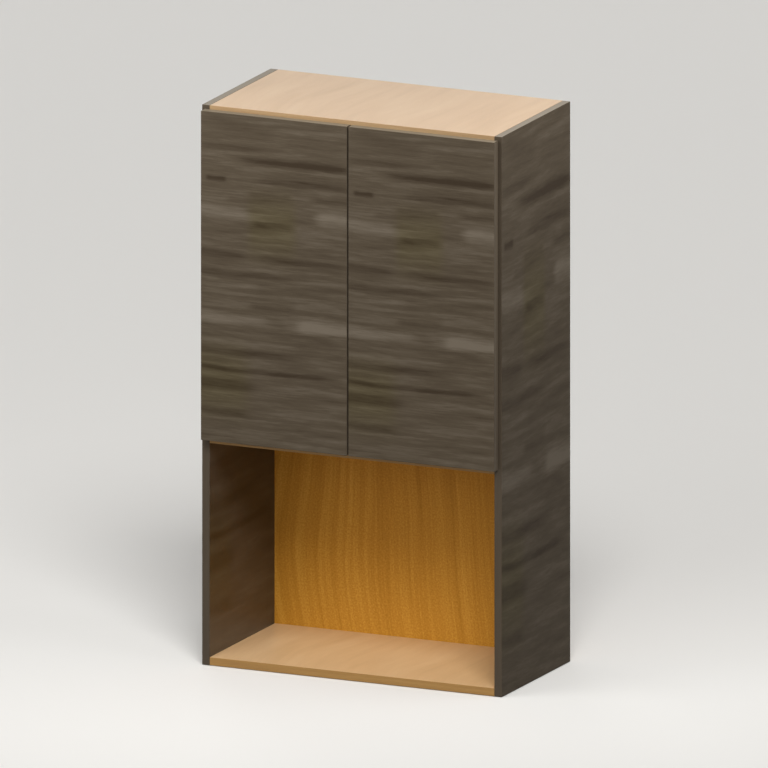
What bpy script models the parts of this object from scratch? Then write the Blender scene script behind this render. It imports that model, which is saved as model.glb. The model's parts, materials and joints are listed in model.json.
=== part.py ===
"""Wall cabinet: two overlay doors on concealed hinges above an open bay.

Metres, +Z up, +X to the viewer's right, +Y towards the wall. The origin is the middle of the upper hanging
rail's back face, which lies on the wall. The doors are modelled closed.

Hinge places are given in plan, once for both doors: u is the distance inwards from a cabinet side's outer
face, and f the distance ahead of the cabinet's front edges.
"""
import math

import bmesh
import bpy
from mathutils import Matrix, Vector

OBJECT_NAME = "wall_cabinet"

# Fits
FIT = 0.0003                    # clearance between neighbouring pieces
SEAT = 0.0001                   # glue line, or a face seated on another
SHELF_END_PLAY = 0.0010         # clearance at each end of the loose shelf

# Carcass
CABINET_WIDTH = 0.6096
CABINET_DEPTH = 0.3048          # without the doors
CABINET_HEIGHT = 1.0668
PANEL = 0.0152                  # thickness of sides, top, shelves and bottom
BAND = 0.0010                   # thickness of the edge bands
BAY_HEIGHT = 0.4080             # clear height of the open bay
BACK_THICKNESS = 0.0032
BACK_GROOVE = 0.0070            # depth of the grooves that hold the back
RAIL_THICKNESS = 0.0120
RAIL_HEIGHT = 0.0800

# Dowels that join the horizontal panels to the sides
DOWEL_RADIUS = 0.0040
DOWEL_IN_SIDE = 0.0100
DOWEL_IN_PANEL = 0.0200
DOWEL_CHAMFER = 0.0008
DOWEL_FROM_FRONT = 0.0500
DOWEL_FROM_WALL = 0.0550

# Loose shelf, its pins and the rows of holes for them
LOOSE_SHELF_SETBACK = 0.0200    # behind the cabinet's front edges
LOOSE_SHELF_BACK_GAP = 0.0030
PIN_HOLE_RADIUS = 0.0025
PIN_HOLE_DEPTH = 0.0090
PIN_HEAD_RADIUS = 0.0032
PIN_HEAD_LENGTH = 0.0100
PIN_ROW_FROM_FRONT = 0.0640
PIN_ROW_FROM_WALL = 0.0600
PIN_HOLE_PITCH = 0.0320
PIN_HOLES_EACH_WAY = 3          # spare holes above and below the shelf's own

# Doors
DOOR_THICKNESS = 0.0175
DOOR_GAP = 0.0020               # between a door's back and the cabinet's front edges
DOOR_SIDE_REVEAL = 0.0063       # cabinet side seen beside a closed door
DOOR_TOP_REVEAL = 0.0070
DOOR_BOTTOM_REVEAL = 0.0094     # fixed shelf seen below a closed door
DOOR_MID_GAP = 0.0030

# Hinges: cup in the door, arm and plate on the side, two links between them
HINGE_FROM_DOOR_END = 0.0900
CUP_RADIUS = 0.0175
CUP_DEPTH = 0.0115
CUP_WALL = 0.0010
CUP_FROM_DOOR_EDGE = 0.0225     # cup centre to the door's hinge edge
FLANGE_THICKNESS = 0.0008
FLANGE_RADIUS = 0.0075
FLANGE_SHIFT = 0.0055           # flange line from the cup centre, away from the hinge edge
CUP_PEG_SPREAD = 0.0225         # cup pegs above and below the cup centre
CUP_PEG_RADIUS = 0.0040
CUP_PEG_DEPTH = 0.0090
LUG_HALF_WIDTH = 0.0026
LUG_DEPTH = 0.0062
PLATE_SETBACK = 0.0370          # plate pegs behind the cabinet's front edges
PLATE_PEG_SPREAD = 0.0160
PLATE_PEG_RADIUS = 0.0025
PLATE_PEG_DEPTH = 0.0100
PLATE_THICKNESS = 0.0018
PLATE_WING_LENGTH = 0.0180
PLATE_WING_HEIGHT = 0.0460
PLATE_BOSS_LENGTH = 0.0420
PLATE_BOSS_HEIGHT = 0.0120
PLATE_BOSS_RISE = 0.0090        # from the side's inner face
ARM_THICKNESS = 0.0070
ARM_HEIGHT = 0.0130
ARM_BACK_OVERHANG = 0.0020      # behind the plate's boss
ARM_FRONT = 0.0140              # arm body's front end behind the cabinet's front edges
NOSE_RADIUS = 0.0031
NOSE_HALF_HEIGHT = 0.0010
NECK_HALF_HEIGHT = 0.0009
PIVOT_PIN_RADIUS = 0.0015
PIVOT_EYE_RADIUS = 0.0022
LINK_HALF_WIDTH = 0.0012
LINK_HEIGHT = 0.0050
LINK_EYE_PROUD = 0.0002         # an eye stands this far past its link's flat faces
PIN_IN_NOSE = 0.0017
PIN_IN_CUP = 0.0016

# Hinge pivots: distance in from the side's inner face and behind the front edges on the arm, and
# distance in from the door's hinge edge and depth below the door's back face in the cup
OUTER_ARM_PIVOT = (0.0164, 0.0059)
OUTER_CUP_PIVOT = (0.0097, 0.0031)
OUTER_LINK_BULGE = 0.0110
INNER_ARM_PIVOT = (0.0287, 0.0060)
INNER_CUP_PIVOT = (0.0130, 0.0000)
INNER_LINK_BULGE = 0.0052

# Push latches under the top panel
LATCH_FROM_MIDDLE = 0.0300
LATCH_WIDTH = 0.0140
LATCH_HEIGHT = 0.0150
LATCH_LENGTH = 0.0560
LATCH_SETBACK = 0.0040
LATCH_PEG_RADIUS = 0.0025
LATCH_PEG_DEPTH = 0.0090
LATCH_PEG_FROM_END = 0.0120
PLUNGER_RADIUS = 0.0040
PLUNGER_LENGTH = 0.0500
PLUNGER_TIP_RADIUS = 0.0032
PLUNGER_TIP_LENGTH = 0.0025
STRIKE_RADIUS = 0.0090
STRIKE_THICKNESS = 0.0010
STRIKE_PEG_RADIUS = 0.0025
STRIKE_PEG_DEPTH = 0.0070

# Facets of round shapes
FINE_FACETS = 32
MEDIUM_FACETS = 16
SMALL_FACETS = 12
LINK_ARC_STEPS = 12

# Places worked out from the sizes above
LEFT = -1.0
RIGHT = 1.0
HANDS = {"left": LEFT, "right": RIGHT}
HALF_WIDTH = CABINET_WIDTH / 2
INNER_HALF = HALF_WIDTH - PANEL
FRONT = -CABINET_DEPTH
TOP = RAIL_HEIGHT / 2 + FIT + PANEL
BOTTOM = TOP - CABINET_HEIGHT
BACK_REAR = -RAIL_THICKNESS - FIT
BACK_FRONT = BACK_REAR - BACK_THICKNESS
FIXED_SHELF_LOW = BOTTOM + PANEL + BAY_HEIGHT
FIXED_SHELF_HIGH = FIXED_SHELF_LOW + PANEL
TOP_LOW = TOP - PANEL
PIN_HEIGHT = (FIXED_SHELF_HIGH + TOP_LOW) / 2
PIN_ROWS = (FRONT + PIN_ROW_FROM_FRONT, -PIN_ROW_FROM_WALL)
DOWEL_ROWS = {"front": FRONT + DOWEL_FROM_FRONT, "rear": -DOWEL_FROM_WALL}
PANEL_LEVELS = {"top": TOP_LOW, "fixed_shelf": FIXED_SHELF_LOW, "bottom": BOTTOM}
DOOR_LOW = FIXED_SHELF_LOW + DOOR_BOTTOM_REVEAL
DOOR_HIGH = TOP - DOOR_TOP_REVEAL
HINGE_LEVELS = {"upper": DOOR_HIGH - HINGE_FROM_DOOR_END, "lower": DOOR_LOW + HINGE_FROM_DOOR_END}
CUP_CENTRE_U = DOOR_SIDE_REVEAL + CUP_FROM_DOOR_EDGE
PLATE_BOSS_TOP = PANEL + PLATE_BOSS_RISE
LATCH_LEVEL = TOP_LOW - SEAT - LATCH_HEIGHT / 2


def plan(u, f, hand):
    """World X and Y of a hinge place given in plan for one hand."""
    return Vector((hand * (HALF_WIDTH - u), FRONT - f))


def arm_pivot(place):
    """Plan place of a pivot on the arm."""
    inset, setback = place
    return Vector((PANEL + inset, -setback))


def cup_pivot(place):
    """Plan place of a pivot in the cup, with the door closed."""
    inset, depth = place
    return Vector((DOOR_SIDE_REVEAL + inset, DOOR_GAP + depth))


# Scene, collections and materials

def clear_scene():
    """Remove every object of the scene."""
    for obj in list(bpy.data.objects):
        bpy.data.objects.remove(obj, do_unlink=True)


def new_collection(name):
    """Make a collection under the scene's own."""
    collection = bpy.data.collections.new(name)
    bpy.context.scene.collection.children.link(collection)
    return collection


def principled(name, colour, roughness, metallic=0.0):
    """Make a Principled material; the colour is linear red, green, blue."""
    material = bpy.data.materials.new(name)
    material.use_nodes = True
    shader = material.node_tree.nodes["Principled BSDF"]
    shader.inputs["Base Color"].default_value = (*colour, 1.0)
    shader.inputs["Roughness"].default_value = roughness
    shader.inputs["Metallic"].default_value = metallic
    return material


class Workshop:
    """Holds the two collections and the materials that the pieces are made with."""

    def __init__(self):
        self.parts = new_collection(OBJECT_NAME)
        self.cutters = new_collection(OBJECT_NAME + "_cutters")
        self.dark_laminate = principled("dark_laminate", (0.090, 0.070, 0.048), 0.55)
        self.beech_laminate = principled("beech_laminate", (0.560, 0.370, 0.210), 0.50)
        self.beech_edging = principled("beech_edging", (0.480, 0.310, 0.160), 0.50)
        self.back_veneer = principled("back_veneer", (0.400, 0.210, 0.060), 0.60)
        self.beech_dowel = principled("beech_dowel", (0.600, 0.420, 0.250), 0.70)
        self.rail_plywood = principled("rail_plywood", (0.520, 0.370, 0.220), 0.75)
        self.nickel_steel = principled("nickel_steel", (0.600, 0.580, 0.550), 0.30, 1.0)
        self.zinc_casting = principled("zinc_casting", (0.450, 0.450, 0.450), 0.40, 1.0)
        self.grey_plastic = principled("grey_plastic", (0.220, 0.220, 0.230), 0.45)
        self.pale_plastic = principled("pale_plastic", (0.550, 0.550, 0.540), 0.40)

    def part(self, name, mesh, material):
        """Add a piece of the cabinet."""
        obj = bpy.data.objects.new(name, mesh)
        obj.data.materials.append(material)
        self.parts.objects.link(obj)
        return obj

    def tool(self, name, mesh):
        """Add a hidden shape that is cut from, or joined to, a piece."""
        obj = bpy.data.objects.new(name, mesh)
        self.cutters.objects.link(obj)
        obj.hide_render = True
        obj.display_type = "WIRE"
        return obj

    def axis(self, name, place):
        """Add an empty on a joint's axis."""
        empty = bpy.data.objects.new(name, None)
        empty.location = place
        self.parts.objects.link(empty)
        return empty


def carry(obj, empty):
    """Parent a piece to an axis empty and keep it where it is."""
    obj.parent = empty
    obj.matrix_parent_inverse = Matrix.Translation(empty.location).inverted()


# Shapes

def add_box(bm, low, high):
    """Add a box between two corners."""
    low = Vector(low)
    high = Vector(high)
    size = high - low
    place = Matrix.Translation((low + high) / 2) @ Matrix.Diagonal((*size, 1.0))
    bmesh.ops.create_cube(bm, size=1.0, matrix=place)


def add_cylinder(bm, start, end, radius, facets):
    """Add a cylinder between two points."""
    start = Vector(start)
    end = Vector(end)
    way = end - start
    turn = way.to_track_quat("Z", "Y").to_matrix().to_4x4()
    bmesh.ops.create_cone(bm, cap_ends=True, segments=facets, radius1=radius, radius2=radius,
                          depth=way.length, matrix=Matrix.Translation((start + end) / 2) @ turn)


def finished(bm, name):
    """Turn a bmesh into a mesh whose faces point outwards."""
    bmesh.ops.recalc_face_normals(bm, faces=bm.faces)
    mesh = bpy.data.meshes.new(name)
    bm.to_mesh(mesh)
    bm.free()
    return mesh


def box_mesh(name, low, high):
    """Mesh of one box."""
    bm = bmesh.new()
    add_box(bm, low, high)
    return finished(bm, name)


def cylinder_mesh(name, start, end, radius, facets):
    """Mesh of one cylinder, shaded smooth round its side."""
    bm = bmesh.new()
    add_cylinder(bm, start, end, radius, facets)
    return smooth(finished(bm, name))


def smooth(mesh):
    """Shade a mesh smooth, with its corners kept sharp."""
    mesh.shade_smooth()
    mesh.set_sharp_from_angle(angle=math.radians(35))
    return mesh


def outline_mesh(name, outline, low, high):
    """Mesh of a flat outline in X and Y, drawn as a filled 2D curve, between two heights."""
    curve = bpy.data.curves.new(name + "_outline", "CURVE")
    curve.dimensions = "2D"
    curve.fill_mode = "BOTH"
    curve.extrude = (high - low) / 2
    spline = curve.splines.new("POLY")
    spline.points.add(len(outline) - 1)
    for point, place in zip(spline.points, outline):
        point.co = (place[0], place[1], 0.0, 1.0)
    spline.use_cyclic_u = True
    drawn = bpy.data.objects.new(name + "_outline", curve)
    bpy.context.scene.collection.objects.link(drawn)
    evaluated = drawn.evaluated_get(bpy.context.evaluated_depsgraph_get())
    mesh = bpy.data.meshes.new_from_object(evaluated)
    bpy.data.objects.remove(drawn, do_unlink=True)
    bm = bmesh.new()
    bm.from_mesh(mesh)
    bpy.data.meshes.remove(mesh)
    bmesh.ops.remove_doubles(bm, verts=bm.verts, dist=1e-6)
    bmesh.ops.translate(bm, verts=bm.verts, vec=(0.0, 0.0, (low + high) / 2))
    return finished(bm, name)


def turned(obj, facets):
    """Turn a profile, drawn in X and Z from the top down, round the Z axis."""
    screw = obj.modifiers.new("turn", "SCREW")
    screw.axis = "Z"
    screw.angle = math.tau
    screw.steps = facets
    screw.render_steps = facets
    screw.use_merge_vertices = True
    screw.merge_threshold = 1e-6
    screw.use_smooth_shade = False


def profile_mesh(name, profile):
    """Mesh of a profile line, given as radius and height from the top down."""
    bm = bmesh.new()
    corners = [bm.verts.new((radius, 0.0, height)) for radius, height in profile]
    for upper, lower in zip(corners, corners[1:]):
        bm.edges.new((upper, lower))
    mesh = bpy.data.meshes.new(name)
    bm.to_mesh(mesh)
    bm.free()
    return mesh


def combine(target, tool, operation):
    """Cut a tool from a piece, or join it on, with a Boolean modifier."""
    modifier = target.modifiers.new(tool.name, "BOOLEAN")
    modifier.object = tool
    modifier.operation = operation
    modifier.solver = "EXACT"


def slot_outline(start, end, radius, steps=SMALL_FACETS // 2):
    """Outline of a straight bar with round ends between two points."""
    along = (end - start).normalized()
    first = math.atan2(along.y, along.x) - math.pi / 2
    outline = []
    for centre, begin in ((end, first), (start, first + math.pi)):
        for step in range(steps + 1):
            angle = begin + math.pi * step / steps
            outline.append(centre + radius * Vector((math.cos(angle), math.sin(angle))))
    return outline


def arc_bar_outline(start, end, bulge, half_width):
    """Outline of a curved bar whose middle stands to the left of the way from start to end."""
    half = (end - start).length / 2
    radius = (half * half + bulge * bulge) / (2 * bulge)
    along = (end - start).normalized()
    left = Vector((-along.y, along.x))
    centre = (start + end) / 2 + left * (bulge - radius)
    reach = 2 * math.atan2(bulge, half)
    outline = []
    for offset, direction in ((half_width, 1), (-half_width, -1)):
        for step in range(LINK_ARC_STEPS + 1):
            angle = direction * reach * (2 * step / LINK_ARC_STEPS - 1)
            arm = along * math.sin(angle) + left * math.cos(angle)
            outline.append(centre + arm * (radius + offset))
    return outline


# Carcass

def side_cuts(shop, name, hand):
    """Groove, dowel holes, shelf pin holes and hinge plate holes of one side, as one cutter."""
    bm = bmesh.new()
    inner = hand * INNER_HALF
    past = hand * (INNER_HALF - PANEL)

    def into(depth):
        return hand * (INNER_HALF + depth)

    groove_x = sorted((past, into(BACK_GROOVE)))
    add_box(bm, (groove_x[0], BACK_FRONT - FIT, BOTTOM + PANEL - BACK_GROOVE),
            (groove_x[1], BACK_REAR + FIT, TOP_LOW + BACK_GROOVE))
    for level in PANEL_LEVELS.values():
        for y in DOWEL_ROWS.values():
            z = level + PANEL / 2
            add_cylinder(bm, (past, y, z), (into(DOWEL_IN_SIDE + FIT), y, z), DOWEL_RADIUS + FIT, SMALL_FACETS)
    for y in PIN_ROWS:
        for count in range(-PIN_HOLES_EACH_WAY, PIN_HOLES_EACH_WAY + 1):
            z = PIN_HEIGHT + count * PIN_HOLE_PITCH
            add_cylinder(bm, (past, y, z), (into(PIN_HOLE_DEPTH), y, z), PIN_HOLE_RADIUS + FIT, SMALL_FACETS)
    for level in HINGE_LEVELS.values():
        for offset in (-PLATE_PEG_SPREAD, PLATE_PEG_SPREAD):
            z = level + offset
            y = FRONT + PLATE_SETBACK
            add_cylinder(bm, (past, y, z), (into(PLATE_PEG_DEPTH + FIT), y, z),
                         PLATE_PEG_RADIUS + FIT, SMALL_FACETS)
    return shop.tool(name, finished(bm, name))


def make_sides(shop):
    """Full-height sides."""
    for word, hand in HANDS.items():
        xs = sorted((hand * HALF_WIDTH, hand * INNER_HALF))
        name = "side_" + word
        side = shop.part(name, box_mesh(name, (xs[0], FRONT, BOTTOM), (xs[1], 0.0, TOP)), shop.dark_laminate)
        combine(side, side_cuts(shop, name + "_cuts", hand), "DIFFERENCE")


def panel_cuts(shop, name, level, groove_low, groove_high):
    """Dowel holes in a horizontal panel's ends and, where it has one, the groove for the back."""
    bm = bmesh.new()
    z = level + PANEL / 2
    for hand in HANDS.values():
        outside = hand * HALF_WIDTH
        bottom = hand * (INNER_HALF - DOWEL_IN_PANEL - FIT)
        for y in DOWEL_ROWS.values():
            add_cylinder(bm, (outside, y, z), (bottom, y, z), DOWEL_RADIUS + FIT, SMALL_FACETS)
    if groove_low is not None:
        add_box(bm, (-HALF_WIDTH, BACK_FRONT - FIT, groove_low), (HALF_WIDTH, BACK_REAR + FIT, groove_high))
    return shop.tool(name, finished(bm, name))


def make_panels(shop):
    """Top, fixed shelf and bottom between the sides, each with a beech band on its front edge."""
    end = INNER_HALF - FIT
    body_front = FRONT + BAND + SEAT
    rows = (
        ("top", "top_panel", 0.0, TOP_LOW - PANEL, TOP_LOW + BACK_GROOVE),
        ("fixed_shelf", "fixed_shelf", BACK_FRONT - FIT, None, None),
        ("bottom", "bottom_panel", 0.0, BOTTOM + PANEL - BACK_GROOVE, BOTTOM + 2 * PANEL),
    )
    for level_name, name, rear, groove_low, groove_high in rows:
        low = PANEL_LEVELS[level_name]
        panel = shop.part(name, box_mesh(name, (-end, body_front, low), (end, rear, low + PANEL)),
                          shop.beech_laminate)
        combine(panel, panel_cuts(shop, name + "_cuts", low, groove_low, groove_high), "DIFFERENCE")
        band = level_name + "_edge_band"
        shop.part(band, box_mesh(band, (-end, FRONT, low), (end, FRONT + BAND, low + PANEL)), shop.beech_edging)


def make_dowels(shop):
    """Chamfered beech dowels, half hidden in each side."""
    high = DOWEL_IN_SIDE
    low = -DOWEL_IN_PANEL
    flat = DOWEL_RADIUS - DOWEL_CHAMFER
    profile = ((0.0, high), (flat, high), (DOWEL_RADIUS, high - DOWEL_CHAMFER),
               (DOWEL_RADIUS, low + DOWEL_CHAMFER), (flat, low), (0.0, low))
    mesh = profile_mesh("dowel", profile)
    mesh.materials.append(shop.beech_dowel)
    for level_name, low_face in PANEL_LEVELS.items():
        for word, hand in HANDS.items():
            for row, y in DOWEL_ROWS.items():
                dowel = bpy.data.objects.new(f"dowel_{level_name}_{word}_{row}", mesh)
                shop.parts.objects.link(dowel)
                dowel.location = (hand * INNER_HALF, y, low_face + PANEL / 2)
                dowel.rotation_euler = (0.0, hand * math.pi / 2, 0.0)
                turned(dowel, SMALL_FACETS)


def make_back(shop):
    """Thin back in its grooves, and the two hanging rails behind it."""
    reach = INNER_HALF + BACK_GROOVE - FIT
    low = BOTTOM + PANEL - BACK_GROOVE + FIT
    high = TOP_LOW + BACK_GROOVE - FIT
    shop.part("back_panel", box_mesh("back_panel", (-reach, BACK_FRONT, low), (reach, BACK_REAR, high)),
              shop.back_veneer)
    end = INNER_HALF - FIT
    for name, rail_low in (("hanging_rail_upper", TOP_LOW - FIT - RAIL_HEIGHT),
                           ("hanging_rail_lower", BOTTOM + PANEL + FIT)):
        mesh = box_mesh(name, (-end, -RAIL_THICKNESS, rail_low), (end, 0.0, rail_low + RAIL_HEIGHT))
        shop.part(name, mesh, shop.rail_plywood)


# Loose shelf

def make_loose_shelf(shop):
    """Adjustable shelf with its edge band, on four pins."""
    end = INNER_HALF - SHELF_END_PLAY
    front = FRONT + LOOSE_SHELF_SETBACK
    rear = BACK_FRONT - LOOSE_SHELF_BACK_GAP
    low = PIN_HEIGHT + PIN_HEAD_RADIUS + FIT
    body_front = front + BAND + SEAT
    shop.part("adjustable_shelf",
              box_mesh("adjustable_shelf", (-end, body_front, low), (end, rear, low + PANEL)),
              shop.beech_laminate)
    name = "adjustable_shelf_edge_band"
    shop.part(name, box_mesh(name, (-end, front, low), (end, front + BAND, low + PANEL)), shop.beech_edging)
    make_shelf_pins(shop)


def make_shelf_pins(shop):
    """Turned pins: a thin end in the side's hole and a thicker head under the shelf."""
    tail = PIN_HOLE_DEPTH - FIT
    profile = ((0.0, tail), (PIN_HOLE_RADIUS, tail), (PIN_HOLE_RADIUS, -SEAT), (PIN_HEAD_RADIUS, -SEAT),
               (PIN_HEAD_RADIUS, -PIN_HEAD_LENGTH), (0.0, -PIN_HEAD_LENGTH))
    mesh = profile_mesh("shelf_pin", profile)
    mesh.materials.append(shop.nickel_steel)
    for word, hand in HANDS.items():
        for row, y in zip(("front", "rear"), PIN_ROWS):
            pin = bpy.data.objects.new(f"shelf_pin_{word}_{row}", mesh)
            shop.parts.objects.link(pin)
            pin.location = (hand * INNER_HALF, y, PIN_HEIGHT)
            pin.rotation_euler = (0.0, hand * math.pi / 2, 0.0)
            turned(pin, SMALL_FACETS)


# Doors

def door_cuts(shop, name, hand):
    """Cup bores, cup peg holes and the strike's peg hole in a door's back."""
    bm = bmesh.new()
    behind = -DOOR_GAP
    for level in HINGE_LEVELS.values():
        centre = plan(CUP_CENTRE_U, 0.0, hand)
        bore_end = FRONT - DOOR_GAP - CUP_DEPTH - FIT
        add_cylinder(bm, (centre.x, FRONT - behind, level), (centre.x, bore_end, level),
                     CUP_RADIUS + FIT, FINE_FACETS)
        peg = plan(CUP_CENTRE_U + FLANGE_SHIFT, 0.0, hand)
        for offset in (-CUP_PEG_SPREAD, CUP_PEG_SPREAD):
            add_cylinder(bm, (peg.x, FRONT - behind, level + offset),
                         (peg.x, FRONT - DOOR_GAP - CUP_PEG_DEPTH - FIT, level + offset),
                         CUP_PEG_RADIUS + FIT, SMALL_FACETS)
    x = hand * LATCH_FROM_MIDDLE
    add_cylinder(bm, (x, FRONT - behind, LATCH_LEVEL), (x, FRONT - DOOR_GAP - STRIKE_PEG_DEPTH - FIT, LATCH_LEVEL),
                 STRIKE_PEG_RADIUS + FIT, SMALL_FACETS)
    return shop.tool(name, finished(bm, name))


def make_door(shop, word, hand):
    """One door with its strike plate, carried on the axis where its cups turn on the outer links."""
    pivot = plan(*cup_pivot(OUTER_CUP_PIVOT), hand)
    axis = shop.axis(f"door_{word}_axis", (pivot.x, pivot.y, (DOOR_LOW + DOOR_HIGH) / 2))
    xs = sorted((hand * (HALF_WIDTH - DOOR_SIDE_REVEAL), hand * DOOR_MID_GAP / 2))
    front = FRONT - DOOR_GAP - DOOR_THICKNESS
    name = "door_" + word
    mesh = box_mesh(name, (xs[0], front, DOOR_LOW), (xs[1], FRONT - DOOR_GAP, DOOR_HIGH))
    door = shop.part(name, mesh, shop.dark_laminate)
    combine(door, door_cuts(shop, name + "_cuts", hand), "DIFFERENCE")
    carry(door, axis)
    make_strike(shop, word, hand, axis)
    return axis


def make_strike(shop, word, hand, axis):
    """Round strike plate on the door's back, with its peg in the door."""
    back = FRONT - DOOR_GAP + SEAT
    x = hand * LATCH_FROM_MIDDLE
    name = "latch_strike_" + word
    mesh = cylinder_mesh(name, (x, back, LATCH_LEVEL), (x, back + STRIKE_THICKNESS, LATCH_LEVEL),
                         STRIKE_RADIUS, MEDIUM_FACETS)
    strike = shop.part(name, mesh, shop.nickel_steel)
    peg = cylinder_mesh(name + "_peg", (x, back + STRIKE_THICKNESS / 2, LATCH_LEVEL),
                        (x, FRONT - DOOR_GAP - STRIKE_PEG_DEPTH, LATCH_LEVEL), STRIKE_PEG_RADIUS, SMALL_FACETS)
    combine(strike, shop.tool(name + "_peg", peg), "UNION")
    carry(strike, axis)


# Hinges

def make_cup(shop, name, hand, level, axis):
    """Hinge cup with its flange, two pegs and the lug that holds the outer link's pin."""
    back = FRONT - DOOR_GAP
    centre = plan(CUP_CENTRE_U, 0.0, hand)
    flange_top = back + SEAT + FLANGE_THICKNESS
    shell = cylinder_mesh(name, (centre.x, flange_top - SEAT, level), (centre.x, back - CUP_DEPTH, level),
                          CUP_RADIUS, FINE_FACETS)
    cup = shop.part(name, shell, shop.nickel_steel)
    flange_x = plan(CUP_CENTRE_U + FLANGE_SHIFT, 0.0, hand).x
    flange = shop.tool(name + "_flange", flange_mesh(name, flange_x, level, back + SEAT, flange_top))
    combine(cup, flange, "UNION")
    for word, offset in (("low", -CUP_PEG_SPREAD), ("high", CUP_PEG_SPREAD)):
        peg_name = f"{name}_peg_{word}"
        peg = cylinder_mesh(peg_name, (flange_x, back + SEAT + FLANGE_THICKNESS / 2, level + offset),
                            (flange_x, back - CUP_PEG_DEPTH, level + offset), CUP_PEG_RADIUS, SMALL_FACETS)
        combine(cup, shop.tool(peg_name, peg), "UNION")
    combine(cup, cup_hollow(shop, name, hand, level, centre, back), "DIFFERENCE")
    pin = plan(*cup_pivot(OUTER_CUP_PIVOT), hand)
    low = level + link_reach()
    hole = cylinder_mesh(name + "_pin_hole", (pin.x, pin.y, low), (pin.x, pin.y, low + PIN_IN_CUP + FIT),
                         PIVOT_PIN_RADIUS + FIT, SMALL_FACETS)
    combine(cup, shop.tool(name + "_pin_hole", hole), "DIFFERENCE")
    carry(cup, axis)


def flange_mesh(name, x, level, rear, front):
    """Upright flange with round ends, drawn flat and stood up against the door's back."""
    reach = CUP_PEG_SPREAD
    outline = slot_outline(Vector((x, -reach)), Vector((x, reach)), FLANGE_RADIUS)
    mesh = outline_mesh(name + "_flange", outline, -front, -rear)
    stand = Matrix.Translation((0.0, 0.0, level)) @ Matrix.Rotation(math.pi / 2, 4, "X")
    mesh.transform(stand)
    return mesh


def cup_hollow(shop, name, hand, level, centre, back):
    """Inside of the cup, with the lug left standing."""
    hollow = shop.tool(name + "_hollow", cylinder_mesh(
        name + "_hollow", (centre.x, back + CUP_DEPTH, level), (centre.x, back - CUP_DEPTH + CUP_WALL, level),
        CUP_RADIUS - CUP_WALL, FINE_FACETS))
    pin = plan(*cup_pivot(OUTER_CUP_PIVOT), hand)
    low = level + link_reach() + FIT
    lug = box_mesh(name + "_lug", (pin.x - LUG_HALF_WIDTH, pin.y - LUG_DEPTH, low),
                   (pin.x + LUG_HALF_WIDTH, back + 2 * CUP_DEPTH, level + 2 * CUP_RADIUS))
    cap = box_mesh(name + "_lug_top", (pin.x - CUP_RADIUS, back, low - SEAT),
                   (pin.x + CUP_RADIUS, back + CUP_DEPTH, level + 2 * CUP_RADIUS))
    lug_tool = shop.tool(name + "_lug", lug)
    combine(lug_tool, shop.tool(name + "_lug_top", cap), "DIFFERENCE")
    combine(hollow, lug_tool, "DIFFERENCE")
    return hollow


def make_plate(shop, name, hand, level):
    """Mounting plate: a wing with two pegs in the side, and a boss that the arm sits on."""
    rear_f = -PLATE_SETBACK - PLATE_WING_LENGTH / 2
    wing = plan_box(name, hand, (PANEL + SEAT, PANEL + PLATE_THICKNESS), (rear_f, rear_f + PLATE_WING_LENGTH),
                    (level - PLATE_WING_HEIGHT / 2, level + PLATE_WING_HEIGHT / 2))
    plate = shop.part(name, wing, shop.zinc_casting)
    boss_rear = -PLATE_SETBACK - PLATE_BOSS_LENGTH / 2
    boss = plan_box(name + "_boss", hand, (PANEL + 2 * SEAT, PLATE_BOSS_TOP),
                    (boss_rear, boss_rear + PLATE_BOSS_LENGTH),
                    (level - PLATE_BOSS_HEIGHT / 2, level + PLATE_BOSS_HEIGHT / 2))
    combine(plate, shop.tool(name + "_boss", boss), "UNION")
    for word, offset in (("low", -PLATE_PEG_SPREAD), ("high", PLATE_PEG_SPREAD)):
        outer = plan(PANEL - PLATE_PEG_DEPTH, -PLATE_SETBACK, hand)
        inner = plan(PANEL + PLATE_THICKNESS / 2, -PLATE_SETBACK, hand)
        peg_name = f"{name}_peg_{word}"
        peg = cylinder_mesh(peg_name, (outer.x, outer.y, level + offset), (inner.x, inner.y, level + offset),
                            PLATE_PEG_RADIUS, SMALL_FACETS)
        combine(plate, shop.tool(peg_name, peg), "UNION")


def plan_box(name, hand, us, fs, zs):
    """Box given by its plan and height ranges for one hand."""
    first = plan(us[0], fs[0], hand)
    second = plan(us[1], fs[1], hand)
    low = (min(first.x, second.x), min(first.y, second.y), zs[0])
    high = (max(first.x, second.x), max(first.y, second.y), zs[1])
    return box_mesh(name, low, high)


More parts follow.
